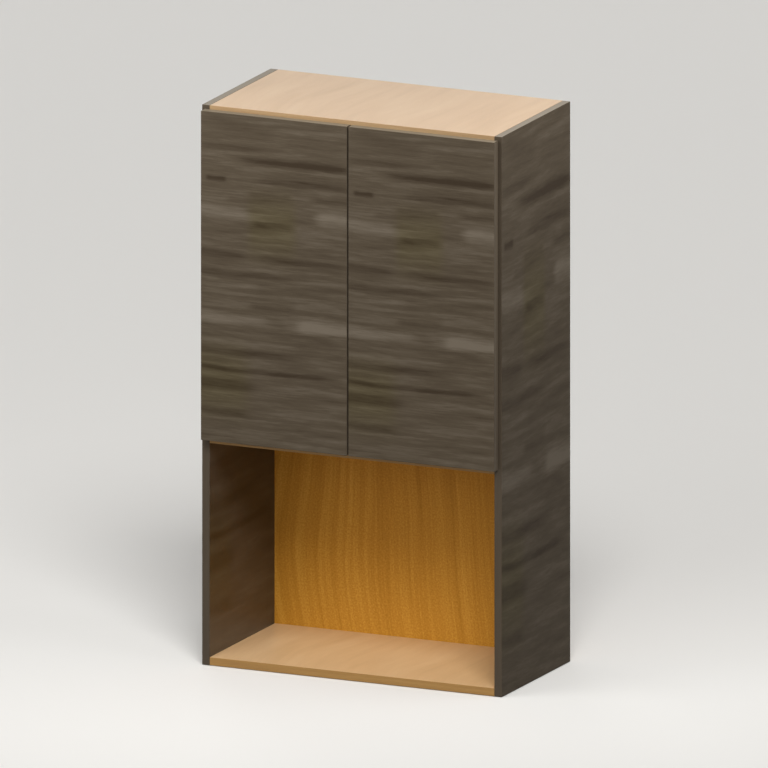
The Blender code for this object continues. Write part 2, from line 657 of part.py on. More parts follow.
def make_arm(shop, name, hand, level):
    """Hinge arm: a bar on the plate's boss and a thin nose that holds both link pins."""
    low_u = PLATE_BOSS_TOP + SEAT
    high_u = low_u + ARM_THICKNESS
    rear_f = -PLATE_SETBACK - PLATE_BOSS_LENGTH / 2 - ARM_BACK_OVERHANG
    bar = plan_box(name, hand, (low_u, high_u), (rear_f, -ARM_FRONT),
                   (level - ARM_HEIGHT / 2, level + ARM_HEIGHT / 2))
    arm = shop.part(name, bar, shop.nickel_steel)
    outer = arm_pivot(OUTER_ARM_PIVOT)
    inner = arm_pivot(INNER_ARM_PIVOT)
    neck = plan_box(name + "_neck", hand, (low_u + NOSE_RADIUS, inner.x - NOSE_RADIUS),
                    (-ARM_FRONT - ARM_THICKNESS, max(outer.y, inner.y)),
                    (level - NECK_HALF_HEIGHT, level + NECK_HALF_HEIGHT))
    combine(arm, shop.tool(name + "_neck", neck), "UNION")
    ends = plan(*outer, hand), plan(*inner, hand)
    nose = outline_mesh(name + "_nose", slot_outline(*ends, NOSE_RADIUS),
                        level - NOSE_HALF_HEIGHT, level + NOSE_HALF_HEIGHT)
    combine(arm, shop.tool(name + "_nose", nose), "UNION")
    bm = bmesh.new()
    for end in ends:
        add_cylinder(bm, (end.x, end.y, level - LINK_HEIGHT), (end.x, end.y, level + LINK_HEIGHT),
                     PIVOT_PIN_RADIUS + FIT, SMALL_FACETS)
    holes = name + "_pin_holes"
    combine(arm, shop.tool(holes, finished(bm, holes)), "DIFFERENCE")


def link_reach():
    """Height of a link's far face from the hinge's middle."""
    return NOSE_HALF_HEIGHT + FIT + LINK_HEIGHT


def link_end(shop, name, place, level, side, cup_pin):
    """Eye of a link with its pin: in the nose at the arm, or standing out into the cup."""
    near = NOSE_HALF_HEIGHT + FIT
    far = link_reach()
    if cup_pin:
        profile = ((0.0, far + PIN_IN_CUP), (PIVOT_PIN_RADIUS, far + PIN_IN_CUP), (PIVOT_PIN_RADIUS, far),
                   (PIVOT_EYE_RADIUS, far), (PIVOT_EYE_RADIUS, near), (0.0, near))
    else:
        low = near - PIN_IN_NOSE
        profile = ((0.0, far), (PIVOT_EYE_RADIUS, far), (PIVOT_EYE_RADIUS, near), (PIVOT_PIN_RADIUS, near),
                   (PIVOT_PIN_RADIUS, low), (0.0, low))
    eye = shop.tool(name, profile_mesh(name, profile))
    turned(eye, SMALL_FACETS)
    eye.location = (place.x, place.y, level)
    if side < 0.0:
        eye.rotation_euler = (math.pi, 0.0, 0.0)
    return eye


def make_link(shop, name, hand, level, side, pivots, bulge, axis):
    """Curved link from the cup's pivot to the arm's, above or below the nose."""
    cup, arm = cup_pivot(pivots[0]), arm_pivot(pivots[1])
    outline = [plan(*point, hand) for point in arc_bar_outline(cup, arm, bulge, LINK_HALF_WIDTH)]
    near = side * (NOSE_HALF_HEIGHT + FIT + LINK_EYE_PROUD)
    far = side * (link_reach() - LINK_EYE_PROUD)
    low, high = sorted((near, far))
    link = shop.part(name, outline_mesh(name, outline, level + low, level + high), shop.nickel_steel)
    for word, place, in_cup in (("arm", arm, False), ("cup", cup, True)):
        eye = link_end(shop, f"{name}_{word}_eye", plan(*place, hand), level, side, in_cup)
        combine(link, eye, "UNION")
    carry(link, axis)


def make_hinges(shop, word, hand, door_axis):
    """The two hinges of one door."""
    middle = sum(HINGE_LEVELS.values()) / len(HINGE_LEVELS)
    links = (
        ("outer", 1.0, (OUTER_CUP_PIVOT, OUTER_ARM_PIVOT), OUTER_LINK_BULGE),
        ("inner", -1.0, (INNER_CUP_PIVOT, INNER_ARM_PIVOT), INNER_LINK_BULGE),
    )
    axes = {}
    for kind, _, pivots, _ in links:
        place = plan(*arm_pivot(pivots[1]), hand)
        axes[kind] = shop.axis(f"{kind}_links_{word}_axis", (place.x, place.y, middle))
    for level_name, level in HINGE_LEVELS.items():
        stem = f"hinge_{word}_{level_name}_"
        make_cup(shop, stem + "cup", hand, level, door_axis)
        make_plate(shop, stem + "plate", hand, level)
        make_arm(shop, stem + "arm", hand, level)
        for kind, side, pivots, bulge in links:
            make_link(shop, f"{stem}{kind}_link", hand, level, side, pivots, bulge, axes[kind])


# Latches

def make_latch(shop, word, hand):
    """Push latch under the top panel: housing with two pegs, and its plunger."""
    x = hand * LATCH_FROM_MIDDLE
    front = FRONT + LATCH_SETBACK
    rear = front + LATCH_LENGTH
    name = "latch_housing_" + word
    low = (x - LATCH_WIDTH / 2, front, LATCH_LEVEL - LATCH_HEIGHT / 2)
    high = (x + LATCH_WIDTH / 2, rear, LATCH_LEVEL + LATCH_HEIGHT / 2)
    housing = shop.part(name, box_mesh(name, low, high), shop.grey_plastic)
    for peg_word, y in (("front", front + LATCH_PEG_FROM_END), ("rear", rear - LATCH_PEG_FROM_END)):
        peg_name = f"{name}_peg_{peg_word}"
        root = high[2] - (LATCH_HEIGHT / 2 - PLUNGER_RADIUS) / 2
        peg = cylinder_mesh(peg_name, (x, y, root), (x, y, TOP_LOW + LATCH_PEG_DEPTH),
                            LATCH_PEG_RADIUS, SMALL_FACETS)
        combine(housing, shop.tool(peg_name, peg), "UNION")
    tip_y = FRONT - DOOR_GAP + SEAT + STRIKE_THICKNESS + FIT
    bore = cylinder_mesh(name + "_bore", (x, front - LATCH_SETBACK, LATCH_LEVEL),
                         (x, tip_y + PLUNGER_LENGTH + FIT, LATCH_LEVEL), PLUNGER_RADIUS + FIT, MEDIUM_FACETS)
    combine(housing, shop.tool(name + "_bore", bore), "DIFFERENCE")
    make_plunger(shop, word, x, tip_y)


def make_plunger(shop, word, x, tip_y):
    """Round plunger with a thinner magnetic tip, its origin at the tip."""
    neck = -PLUNGER_TIP_LENGTH
    profile = ((0.0, 0.0), (PLUNGER_TIP_RADIUS, 0.0), (PLUNGER_TIP_RADIUS, neck), (PLUNGER_RADIUS, neck),
               (PLUNGER_RADIUS, -PLUNGER_LENGTH), (0.0, -PLUNGER_LENGTH))
    name = "latch_plunger_" + word
    plunger = shop.part(name, profile_mesh(name, profile), shop.pale_plastic)
    turned(plunger, MEDIUM_FACETS)
    plunger.location = (x, tip_y, LATCH_LEVEL)
    plunger.rotation_euler = (math.pi / 2, 0.0, 0.0)


def drill_top_panel(shop):
    """Holes in the top panel's underside for the latch pegs."""
    bm = bmesh.new()
    front = FRONT + LATCH_SETBACK
    for hand in HANDS.values():
        x = hand * LATCH_FROM_MIDDLE
        for y in (front + LATCH_PEG_FROM_END, front + LATCH_LENGTH - LATCH_PEG_FROM_END):
            add_cylinder(bm, (x, y, TOP_LOW - PANEL), (x, y, TOP_LOW + LATCH_PEG_DEPTH + FIT),
                         LATCH_PEG_RADIUS + FIT, SMALL_FACETS)
    holes = shop.tool("top_panel_latch_holes", finished(bm, "top_panel_latch_holes"))
    combine(bpy.data.objects["top_panel"], holes, "DIFFERENCE")


def main():
    """Build the whole cabinet."""
    clear_scene()
    shop = Workshop()
    make_sides(shop)
    make_panels(shop)
    make_dowels(shop)
    make_back(shop)
    make_loose_shelf(shop)
    for word, hand in HANDS.items():
        door_axis = make_door(shop, word, hand)
        make_hinges(shop, word, hand, door_axis)
        make_latch(shop, word, hand)
    drill_top_panel(shop)


main()
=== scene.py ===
"""Wall cabinet with two overlay doors above an open bay: its surfaces, fittings, light and camera.

Metres, +Z up, +X to the viewer's right, +Y towards the wall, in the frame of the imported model. Boards are
eased copies of their nodes with a grain map. Hinge plates, arms and cups and latch strikes are copies with
rounded corners, and the other fittings keep their nodes' shape with softened edges. Screw heads and latch
collars are added.
"""
from __future__ import annotations

import json
import logging
import math
from abc import ABC, abstractmethod
from dataclasses import dataclass, field, replace
from enum import Enum, StrEnum
from functools import cached_property
from typing import Any, Mapping, Sequence, Union

import bmesh
import bpy
from bmesh.types import BMEdge, BMesh, BMVert
from bpy.types import ID, Light, Material, Mesh, Node, NodeSocket, NodeTree, Object
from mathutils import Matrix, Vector

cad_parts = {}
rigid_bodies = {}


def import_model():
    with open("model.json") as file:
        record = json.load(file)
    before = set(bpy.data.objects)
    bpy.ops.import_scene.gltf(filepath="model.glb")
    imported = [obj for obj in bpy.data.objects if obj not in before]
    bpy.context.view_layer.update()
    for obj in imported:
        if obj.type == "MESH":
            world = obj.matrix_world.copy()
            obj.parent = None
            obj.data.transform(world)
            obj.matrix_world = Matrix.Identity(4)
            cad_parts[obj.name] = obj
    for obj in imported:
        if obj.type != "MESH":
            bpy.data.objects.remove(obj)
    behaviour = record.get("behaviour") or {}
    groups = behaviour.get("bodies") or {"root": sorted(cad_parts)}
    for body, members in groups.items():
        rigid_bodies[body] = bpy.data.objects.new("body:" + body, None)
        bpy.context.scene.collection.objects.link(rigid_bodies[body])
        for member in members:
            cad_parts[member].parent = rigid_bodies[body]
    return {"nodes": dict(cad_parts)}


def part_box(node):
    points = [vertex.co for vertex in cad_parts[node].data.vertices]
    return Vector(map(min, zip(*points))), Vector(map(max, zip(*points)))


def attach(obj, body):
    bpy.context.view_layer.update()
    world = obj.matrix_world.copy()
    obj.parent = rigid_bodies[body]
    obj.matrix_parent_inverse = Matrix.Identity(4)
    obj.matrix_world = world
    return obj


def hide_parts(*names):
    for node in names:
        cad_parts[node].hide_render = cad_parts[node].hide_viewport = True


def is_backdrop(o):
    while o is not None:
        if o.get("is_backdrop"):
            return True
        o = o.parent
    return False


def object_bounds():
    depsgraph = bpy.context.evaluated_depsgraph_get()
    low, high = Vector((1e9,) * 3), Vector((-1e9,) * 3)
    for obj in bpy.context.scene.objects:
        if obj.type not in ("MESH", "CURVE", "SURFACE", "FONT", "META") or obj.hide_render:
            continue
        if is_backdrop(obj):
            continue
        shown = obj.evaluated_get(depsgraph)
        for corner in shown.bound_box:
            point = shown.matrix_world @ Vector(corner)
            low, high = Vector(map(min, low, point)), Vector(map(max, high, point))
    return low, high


MM = 0.001
GRAIN_MAP = "grain"
CARCASS = "carcass"

# Points closer than the first are one, and points nearer to a plane than the second lie on it
SAME_POINT = 0.002 * MM
ON_PLANE = 0.02 * MM

# Faces that turn less than the first are one flat face, and edges that turn more than the others look sharp
FLAT_DEG = 0.5
BOARD_SHARP_DEG = 40
TURNED_SHARP_DEG = 35

# Bevel profile of a true arc
ARC = 0.5

# Socket numbers of a node that mixes colours
MIX_SHARE = 0
MIX_FIRST = 6
MIX_SECOND = 7
MIX_RESULT = 2

# The ends of a pair of screws, with the way along Z to each
SCREW_ENDS = (("low", -1), ("high", 1))

TO_FRONT = Vector((0.0, -1.0, 0.0))
TO_WALL = Vector((0.0, 1.0, 0.0))
TO_FLOOR = Vector((0.0, 0.0, -1.0))

Nodes = Mapping[str, Object]
Source = Union[Node, NodeSocket]

logger = logging.getLogger("wall_cabinet")


class Axis(Enum):
    """Axis of the frame that a grain or an edge runs along."""

    X = 0
    Y = 1
    Z = 2


class Side(Enum):
    """Side of a board: its normal's axis, and the corner of the board's box on it, lowest or highest."""

    LEFT = (Axis.X, 0)
    RIGHT = (Axis.X, 1)
    FRONT = (Axis.Y, 0)
    REAR = (Axis.Y, 1)
    DOWN = (Axis.Z, 0)
    UP = (Axis.Z, 1)


class Hand(StrEnum):
    """Half of the cabinet, as the viewer sees it."""

    LEFT = "left"
    RIGHT = "right"

    @property
    def inwards(self) -> float:
        """Sign of the way along X to the cabinet's middle."""
        return 1.0 if self is Hand.LEFT else -1.0

    @property
    def door_body(self) -> str:
        """Body that moves with this half's door."""
        return f"{self}_door"


class Level(StrEnum):
    """Place of a hinge on its door, or of a rail on the back."""

    UPPER = "upper"
    LOWER = "lower"


class Row(StrEnum):
    """Place in the cabinet's depth."""

    FRONT = "front"
    REAR = "rear"


class Slot(Enum):
    """Material slot of the record."""

    DARK_LAMINATE = "dark_laminate"
    BEECH_LAMINATE = "beech_laminate"
    BEECH_EDGING = "beech_edging"
    BACK_VENEER = "back_veneer"
    RAIL_PLYWOOD = "rail_plywood"
    NICKEL_STEEL = "nickel_steel"
    ZINC_CASTING = "zinc_casting"
    GREY_PLASTIC = "grey_plastic"


def linear(hex_colour: str) -> tuple[float, float, float, float]:
    """Turn an sRGB hex colour into linear RGBA.

    Args:
        hex_colour: Six hex digits, red first.

    Returns:
        Linear red, green, blue and an alpha of 1.
    """
    channels = [int(hex_colour[start:start + 2], 16) / 255 for start in (0, 2, 4)]
    lit = [c / 12.92 if c <= 0.04045 else ((c + 0.055) / 1.055) ** 2.4 for c in channels]
    return (*lit, 1.0)


def link(tree: NodeTree, source: Source, target: NodeSocket) -> None:
    """Feed an input from a socket, or from a node's first output."""
    tree.links.new(source.outputs[0] if isinstance(source, Node) else source, target)


def add_node(tree: NodeTree, kind: str, settings: Mapping[str | int, Any] | None = None,
             links: Mapping[str | int, Source] | None = None) -> Node:
    """Add a shader node with its settings and links.

    Args:
        tree: Node tree that the node goes into.
        kind: Blender's type name of the node.
        settings: Property names, or input names or numbers, with their values.
        links: Input names or numbers with what feeds each.

    Returns:
        The new node.
    """
    node = tree.nodes.new(kind)
    for key, value in (settings or {}).items():
        if isinstance(key, str) and hasattr(node, key):
            setattr(node, key, value)
        else:
            node.inputs[key].default_value = value
    for key, source in (links or {}).items():
        link(tree, source, node.inputs[key])
    return node


def set_ramp(node: Node, places: Sequence[float], colours: Sequence[str]) -> None:
    """Give a colour ramp its stops.

    Args:
        node: Colour ramp node.
        places: Place of each stop, in rising order.
        colours: sRGB hex colour of each stop.
    """
    stops = node.color_ramp.elements
    while len(stops) > 1:
        stops.remove(stops[-1])
    stops[0].position = places[0]
    stops[0].color = linear(colours[0])
    for place, colour in zip(places[1:], colours[1:]):
        stops.new(place).color = linear(colour)


def add_object(name: str, data: ID) -> Object:
    """Put an object in the scene.

    Args:
        name: Name of the object.
        data: Its mesh, light or camera.

    Returns:
        The new object.
    """
    obj = bpy.data.objects.new(name, data)
    bpy.context.scene.collection.objects.link(obj)
    return obj


def add_piece(name: str, mesh: Mesh, body: str,
              stand: tuple[Vector, Vector] | None = None) -> Object:
    """Put a new mesh in the scene as a piece of one body.

    Args:
        name: Name of the piece.
        mesh: Its mesh.
        body: Body that it moves with.
        stand: Where its origin goes and the way its Z axis points, unless the mesh is in place already.

    Returns:
        The new piece.
    """
    piece = add_object(name, mesh)
    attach(piece, body)
    if stand is not None:
        piece.location, outwards = stand
        piece.rotation_euler = outwards.to_track_quat("Z", "Y").to_euler()
    logger.info("piece %s", name)
    return piece


def node_shape(node: Object) -> BMesh:
    """Copy a node's solid, with the triangles of each flat face joined.

    Args:
        node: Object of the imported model.

    Returns:
        A mesh to work on.
    """
    bm = bmesh.new()
    bm.from_mesh(node.data)
    bmesh.ops.remove_doubles(bm, verts=bm.verts, dist=SAME_POINT)
    bmesh.ops.dissolve_limit(bm, angle_limit=math.radians(FLAT_DEG), verts=bm.verts, edges=bm.edges)
    return bm


def round_edges(bm: BMesh, edges: Sequence[BMEdge], radius_mm: float, steps: int) -> None:
    """Round some edges off to a radius, in so many facets."""
    bmesh.ops.bevel(bm, geom=edges, offset=radius_mm * MM, segments=steps, profile=ARC, affect="EDGES",
                    clamp_overlap=True)


def kept_mesh(bm: BMesh, name: str) -> Mesh:
    """Turn a mesh that was worked on into one that is kept.

    Args:
        bm: Mesh to work on, which is freed.
        name: Name of the kept mesh.

    Returns:
        The kept mesh.
    """
    mesh = bpy.data.meshes.new(name)
    bm.to_mesh(mesh)
    bm.free()
    return mesh


def even_faces(piece: Object) -> None:
    """Shade a piece's wide faces flat, beside its soft edges."""
    weighted = piece.modifiers.new("flat_faces", "WEIGHTED_NORMAL")
    weighted.keep_sharp = True


@dataclass(frozen=True)
class Mark:
    """One long soft mark in a printed grain, in millimetres on the print.

    It runs along the grain between two places, some way down from the board's top edge. Its shade is below
    nought for a dark mark and above for a pale one. In a tinted patch it says how strong the tint is.
    """

    start: float
    end: float
    down: float
    thick: float
    shade: float


@dataclass(frozen=True)
class Streaks:
    """Streaks of one size in a grain: how long and wide they are, and how much they count."""

    length_mm: float
    width_mm: float
    share: float


@dataclass(frozen=True, kw_only=True)
class Finish(ABC):
    """Finish of a surface, named for the real material.

    Roughness runs between two values, and relief is the depth of the pattern in the surface. The IOR is the
    shader's own unless a finish gives another.
    """

    name: str
    roughness: tuple[float, float]
    relief_mm: float
    ior: float = 1.5
    metallic: float = 0.0

    RELIEF_STRENGTH = 0.4

    def material(self) -> Material:
        """Make the material, or give back the one already made.

        Returns:
            The finish's material.
        """
        if self.name in bpy.data.materials:
            return bpy.data.materials[self.name]
        material = bpy.data.materials.new(self.name)
        material.use_nodes = True
        tree = material.node_tree
        shader = tree.nodes["Principled BSDF"]
        colour, pattern = self._paint(tree)
        least, most = self.roughness
        gloss = add_node(tree, "ShaderNodeMapRange", {"To Min": least, "To Max": most}, {"Value": pattern})
        relief = {"Strength": self.RELIEF_STRENGTH, "Distance": self.relief_mm * MM}
        bump = add_node(tree, "ShaderNodeBump", relief, {"Height": pattern})
        link(tree, colour, shader.inputs["Base Color"])
        link(tree, gloss, shader.inputs["Roughness"])
        link(tree, bump, shader.inputs["Normal"])
        shader.inputs["IOR"].default_value = self.ior
        shader.inputs["Metallic"].default_value = self.metallic
        return material

    @abstractmethod
    def _paint(self, tree: NodeTree) -> tuple[Source, Source]:
        """Draw the colour, and the pattern that gloss and relief follow."""


@dataclass(frozen=True, kw_only=True)
class PrintedGrain(Finish):
    """Wood-grain face of a board, in streaks that run along the grain and wander a little across it."""

    dark: str
    middle: str
    pale: str
    broad: Streaks
    fine: Streaks
    fleck: Streaks
    wander_mm: float
    wander_over_mm: float = 200.0
    ior: float = 1.45
    marks: tuple[Mark, ...] = ()
    tinted: tuple[Mark, ...] = ()
    tint: str = "FFFFFF"

    RELIEF_STRENGTH = 0.35
    LAYER_DETAIL = (4.0, 3.0, 2.0)
    STREAK_ROUGHNESS = 0.55
    FEATHER = Streaks(35.0, 3.5, 1.0)
    FEATHER_DETAIL = 2.0
    WANDER_DETAIL = 1.0
    MID_GREY = 0.5
    TONE_STOPS = (0.2, 0.5, 0.8)
    MARK_SHARE = 0.3
    MARK_FULL_ALONG = 0.55
    MARK_FULL_ACROSS = 0.1

    def _paint(self, tree: NodeTree) -> tuple[Source, Source]:
        """Draw the streaks, each size by its departure from mid grey, and the marks.

        Args:
            tree: Node tree of the material.

        Returns:
            The colour, and the fine streaks.
        """
        place = self._wandering_place(tree)
        layers = (self.broad, self.fine, self.fleck)
        patterns = [self._pattern(tree, place, *layer) for layer in zip(layers, self.LAYER_DETAIL)]
        _, fine, _ = patterns
        departure = {"operation": "SUBTRACT", 1: self.MID_GREY}
        shade = None
        for layer, pattern in zip(layers, patterns):
            centred = add_node(tree, "ShaderNodeMath", departure, {0: pattern})
            so_far = {} if shade is None else {2: shade}
            added = {"operation": "MULTIPLY_ADD", 1: layer.share, 2: self.MID_GREY}
            shade = add_node(tree, "ShaderNodeMath", added, {0: centred, **so_far})
        shade = self._with_marks(tree, place, shade, self.marks)
        tone = add_node(tree, "ShaderNodeValToRGB", links={"Fac": shade})
        set_ramp(tone, self.TONE_STOPS, (self.dark, self.middle, self.pale))
        if not self.tinted:
            return tone, fine
        share = self._with_marks(tree, place, None, self.tinted)
        tinting = add_node(tree, "ShaderNodeMix",
                           {"data_type": "RGBA", "blend_type": "MULTIPLY", MIX_SECOND: linear(self.tint)},
                           {MIX_SHARE: share, MIX_FIRST: tone})
        return tinting.outputs[MIX_RESULT], fine

    def _wandering_place(self, tree: NodeTree) -> Node:
        """Find the place on the print, drifting slowly across the grain as the figure of wood does.

        Args:
            tree: Node tree of the material.

        Returns:
            The place in metres.
        """
        grain = add_node(tree, "ShaderNodeUVMap", {"uv_map": GRAIN_MAP})
        drift = add_node(tree, "ShaderNodeTexNoise",
                         {"noise_dimensions": "2D", "Scale": 1 / (self.wander_over_mm * MM),
                          "Detail": self.WANDER_DETAIL}, {"Vector": grain})
        reach = self.wander_mm * MM
        slow = add_node(tree, "ShaderNodeMath", {"operation": "MULTIPLY_ADD", 1: 2 * reach, 2: -reach},
                        {0: drift})
        feather = self._pattern(tree, grain, self.FEATHER, self.FEATHER_DETAIL)
        offset = add_node(tree, "ShaderNodeMath",
                          {"operation": "MULTIPLY_ADD", 1: self.FEATHER.share * self.FEATHER.width_mm * MM},
                          {0: feather, 2: slow})
        across = add_node(tree, "ShaderNodeCombineXYZ", links={"Y": offset})
        return add_node(tree, "ShaderNodeVectorMath", {"operation": "ADD"}, {0: grain, 1: across})

    def _pattern(self, tree: NodeTree, place: Node, streaks: Streaks, detail: float) -> Node:
        """Draw noise out along the grain into streaks.

        Args:
            tree: Node tree of the material.
            place: Place on the print, in metres.
            streaks: Size of the streaks.
            detail: How many finer layers the noise has.

        Returns:
            The streaks, about mid grey.
        """
        scale = (1 / (streaks.length_mm * MM), 1 / (streaks.width_mm * MM), 1.0)
        scaled = add_node(tree, "ShaderNodeVectorMath", {"operation": "MULTIPLY", 1: scale}, {0: place})
        return add_node(tree, "ShaderNodeTexNoise",
                        {"noise_dimensions": "2D", "Scale": 1.0, "Detail": detail,
                         "Roughness": self.STREAK_ROUGHNESS}, {"Vector": scaled})

    def _with_marks(self, tree: NodeTree, place: Node, shade: Node | None,
                    marks: Sequence[Mark]) -> Node | None:
        """Add marks to a shade: each runs straight and fades out at its rim and ends.

        Args:
            tree: Node tree of the material.
            place: Place on the print, in metres.
            shade: Shade so far, or None to start from nothing.
            marks: Marks to add.

        Returns:
            The shade with the marks.
        """
        fade = {"interpolation_type": "SMOOTHSTEP", "From Min": 1.0}
        for mark in marks:
            half = (mark.end - mark.start) / 2
            scale = (1 / (half * MM), 1 / (mark.thick * MM), 0.0)
            shift = (-(mark.start + mark.end) / 2 / half, -mark.down / mark.thick, 0.0)
            local = add_node(tree, "ShaderNodeVectorMath", {"operation": "MULTIPLY_ADD", 1: scale, 2: shift},
                             {0: place})
            away = add_node(tree, "ShaderNodeVectorMath", {"operation": "ABSOLUTE"}, {0: local})
            along, across, _ = add_node(tree, "ShaderNodeSeparateXYZ", links={"Vector": away}).outputs
            ends = {**fade, "From Max": self.MARK_FULL_ALONG}
            run = add_node(tree, "ShaderNodeMapRange", ends, {"Value": along})
            rims = {**fade, "From Max": self.MARK_FULL_ACROSS, "To Max": self.MARK_SHARE * mark.shade}
            rim = add_node(tree, "ShaderNodeMapRange", rims, {"Value": across})
            so_far = {} if shade is None else {2: shade}
            shade = add_node(tree, "ShaderNodeMath", {"operation": "MULTIPLY_ADD", 2: 0.0},
                             {0: run, 1: rim, **so_far})
        return shade


@dataclass(frozen=True, kw_only=True)
class Mottled(Finish):
    """Surface with a speckle of one size and no direction: bare wood or board, metal or moulded plastic."""

    dark: str
    pale: str
    speck_mm: float

    DETAIL = 3.0
    TONE_STOPS = (0.35, 0.65)

    def _paint(self, tree: NodeTree) -> tuple[Source, Source]:
        """Draw the speckle.

        Args:
            tree: Node tree of the material.

        Returns:
            The colour, and the specks.
        """
        place = add_node(tree, "ShaderNodeTexCoord").outputs["Object"]
        grit = {"Scale": 1 / (self.speck_mm * MM), "Detail": self.DETAIL}
        specks = add_node(tree, "ShaderNodeTexNoise", grit, {"Vector": place})
        tone = add_node(tree, "ShaderNodeValToRGB", links={"Fac": specks})
        set_ramp(tone, self.TONE_STOPS, (self.dark, self.pale))
        return tone, specks


# Melamine-faced board printed as weathered grey-brown oak: matt, with soft streaks along the grain, and the
# same long dark and pale marks, and two faintly olive patches, on every sheet
DARK_OAK = PrintedGrain(
    name="dark_oak_melamine", dark="362D23", middle="4C4337", pale="655C50",
    broad=Streaks(150.0, 13.0, 0.5), fine=Streaks(60.0, 3.0, 0.2), fleck=Streaks(24.0, 1.2, 0.12),
    wander_mm=3.0, roughness=(0.5, 0.6), relief_mm=0.1, ior=1.13,
    marks=(
        Mark(-20.0, 160.0, 67.0, 10.0, -0.35),
        Mark(40.0, 330.0, 86.0, 13.0, -0.85),
        Mark(6.0, 56.0, 127.0, 8.0, -0.9),
        Mark(95.0, 330.0, 122.0, 10.0, -0.6),
        Mark(90.0, 195.0, 151.0, 9.0, -0.55),
        Mark(215.0, 330.0, 148.0, 9.0, -0.45),
        Mark(-60.0, 110.0, 185.0, 22.0, 0.6),
        Mark(220.0, 360.0, 184.0, 20.0, 0.95),
        Mark(95.0, 200.0, 207.0, 9.0, -0.65),
        Mark(-40.0, 105.0, 268.0, 12.0, -0.6),
        Mark(90.0, 320.0, 271.0, 11.0, -0.65),
        Mark(-40.0, 200.0, 304.0, 9.0, -0.7),
        Mark(90.0, 200.0, 362.0, 10.0, -0.45),
        Mark(-50.0, 160.0, 389.0, 18.0, 0.6),
        Mark(180.0, 360.0, 393.0, 20.0, 0.9),
        Mark(-50.0, 250.0, 454.0, 12.0, -0.6),
        Mark(-60.0, 310.0, 487.0, 8.0, -0.9),
        Mark(-60.0, 130.0, 518.0, 17.0, -0.75),
        Mark(-50.0, 110.0, 570.0, 10.0, -0.45),
    ),
    tinted=(Mark(85.0, 205.0, 208.0, 90.0, 3.0), Mark(-70.0, 115.0, 510.0, 100.0, 3.0)), tint="FDFFEA")

# Same print on the sides' inner faces, painted deeper as painted shade for the inside of the bay, beside a
# real sheen that shows the amber back at a low angle
SHADED_DARK_OAK_INSIDE = replace(
    DARK_OAK, name="dark_oak_melamine_inside_painted_shade", dark="302820", middle="453D34", pale="5C554C",
    roughness=(0.32, 0.4), ior=1.5)

# Top edge strip: grey-brown extruded plastic, painted paler than the print as painted sheen on the upward
# edges, and it also takes a real sheen at a low angle
PAINTED_SHEEN_TOP_STRIP = PrintedGrain(
    name="grey_oak_edge_strip_painted_sheen", dark="6B6050", middle="786D5C", pale="847967",
    broad=Streaks(180.0, 7.0, 0.4), fine=Streaks(70.0, 2.2, 0.2), fleck=Streaks(24.0, 1.2, 0.12),
    wander_mm=1.0, roughness=(0.3, 0.38), relief_mm=0.05, ior=1.2)

# Thinner strip of the same plastic on a door's upright edges and lower edge, coloured to the print
DOOR_STRIP = replace(
    PAINTED_SHEEN_TOP_STRIP, name="dark_oak_edge_strip", dark="453C31", middle="554B3E", pale="63594B",
    roughness=(0.4, 0.48), ior=1.25)

# The same strip on the sides' front edges, painted a little deeper as painted shade for the door's shadow
# beside the door and the shade along the bay
SHADED_FRONT_STRIP = replace(DOOR_STRIP, name="dark_oak_front_strip_painted_shade", dark="3F372D", middle="463D32", pale="4E4539")

# Beech melamine on the shelves and bottom: pale, even, with a faint soft figure and tiny flecks, and painted
# a shade paler than the top's sheet as painted light in the bay
BEECH = PrintedGrain(
    name="beech_melamine", dark="C5A072", middle="D4AF82", pale="DFBD91",
    broad=Streaks(240.0, 34.0, 0.6), fine=Streaks(80.0, 4.0, 0.2), fleck=Streaks(9.0, 1.6, 0.14),
    wander_mm=22.0, roughness=(0.3, 0.38), relief_mm=0.06, ior=1.5)

# The top's sheet of the same beech, painted a shade deeper as painted shade that offsets the stronger light
# and sheen on the top
SHADED_BEECH_TOP = replace(BEECH, name="beech_melamine_top_painted_shade", dark="AC8D6A", middle="BA9B78", pale="C3A886")

# Beech edge band: the same wood, warmer, with its grain along the strip
BEECH_EDGE = PrintedGrain(
    name="beech_edge_band", dark="88653A", middle="96713E", pale="A17D4A",
    broad=Streaks(160.0, 6.0, 0.5), fine=Streaks(60.0, 2.0, 0.25), fleck=Streaks(8.0, 1.4, 0.15),
    wander_mm=2.0, roughness=(0.4, 0.5), relief_mm=0.06)

# The band of the top's sheet, painted greyer than the others as painted sheen on the top's band
SHEEN_BEECH_TOP_EDGE = replace(
    BEECH_EDGE, name="beech_top_edge_band_painted_sheen", dark="876C4D", middle="957A58", pale="A08765")

# Beech foil on the hardboard back: amber, upright figure in soft lines, with a fine pebbled speckle
AMBER_BACK = PrintedGrain(
    name="amber_beech_foil", dark="9C6A1C", middle="B27C29", pale="C7943C",
    broad=Streaks(900.0, 17.0, 0.6), fine=Streaks(240.0, 3.6, 0.28), fleck=Streaks(3.6, 2.8, 0.6),
    wander_mm=60.0, wander_over_mm=620.0, roughness=(0.5, 0.62), relief_mm=0.12, ior=1.3)

# Birch ply face on the hanging rails: pale, bare, with a long quiet grain
BIRCH_FACE = PrintedGrain(
    name="birch_ply_face", dark="B99467", middle="CBA679", pale="D9B88E",
    broad=Streaks(300.0, 20.0, 0.6), fine=Streaks(110.0, 3.0, 0.3), fleck=Streaks(12.0, 1.5, 0.2),
    wander_mm=9.0, roughness=(0.6, 0.72), relief_mm=0.1)

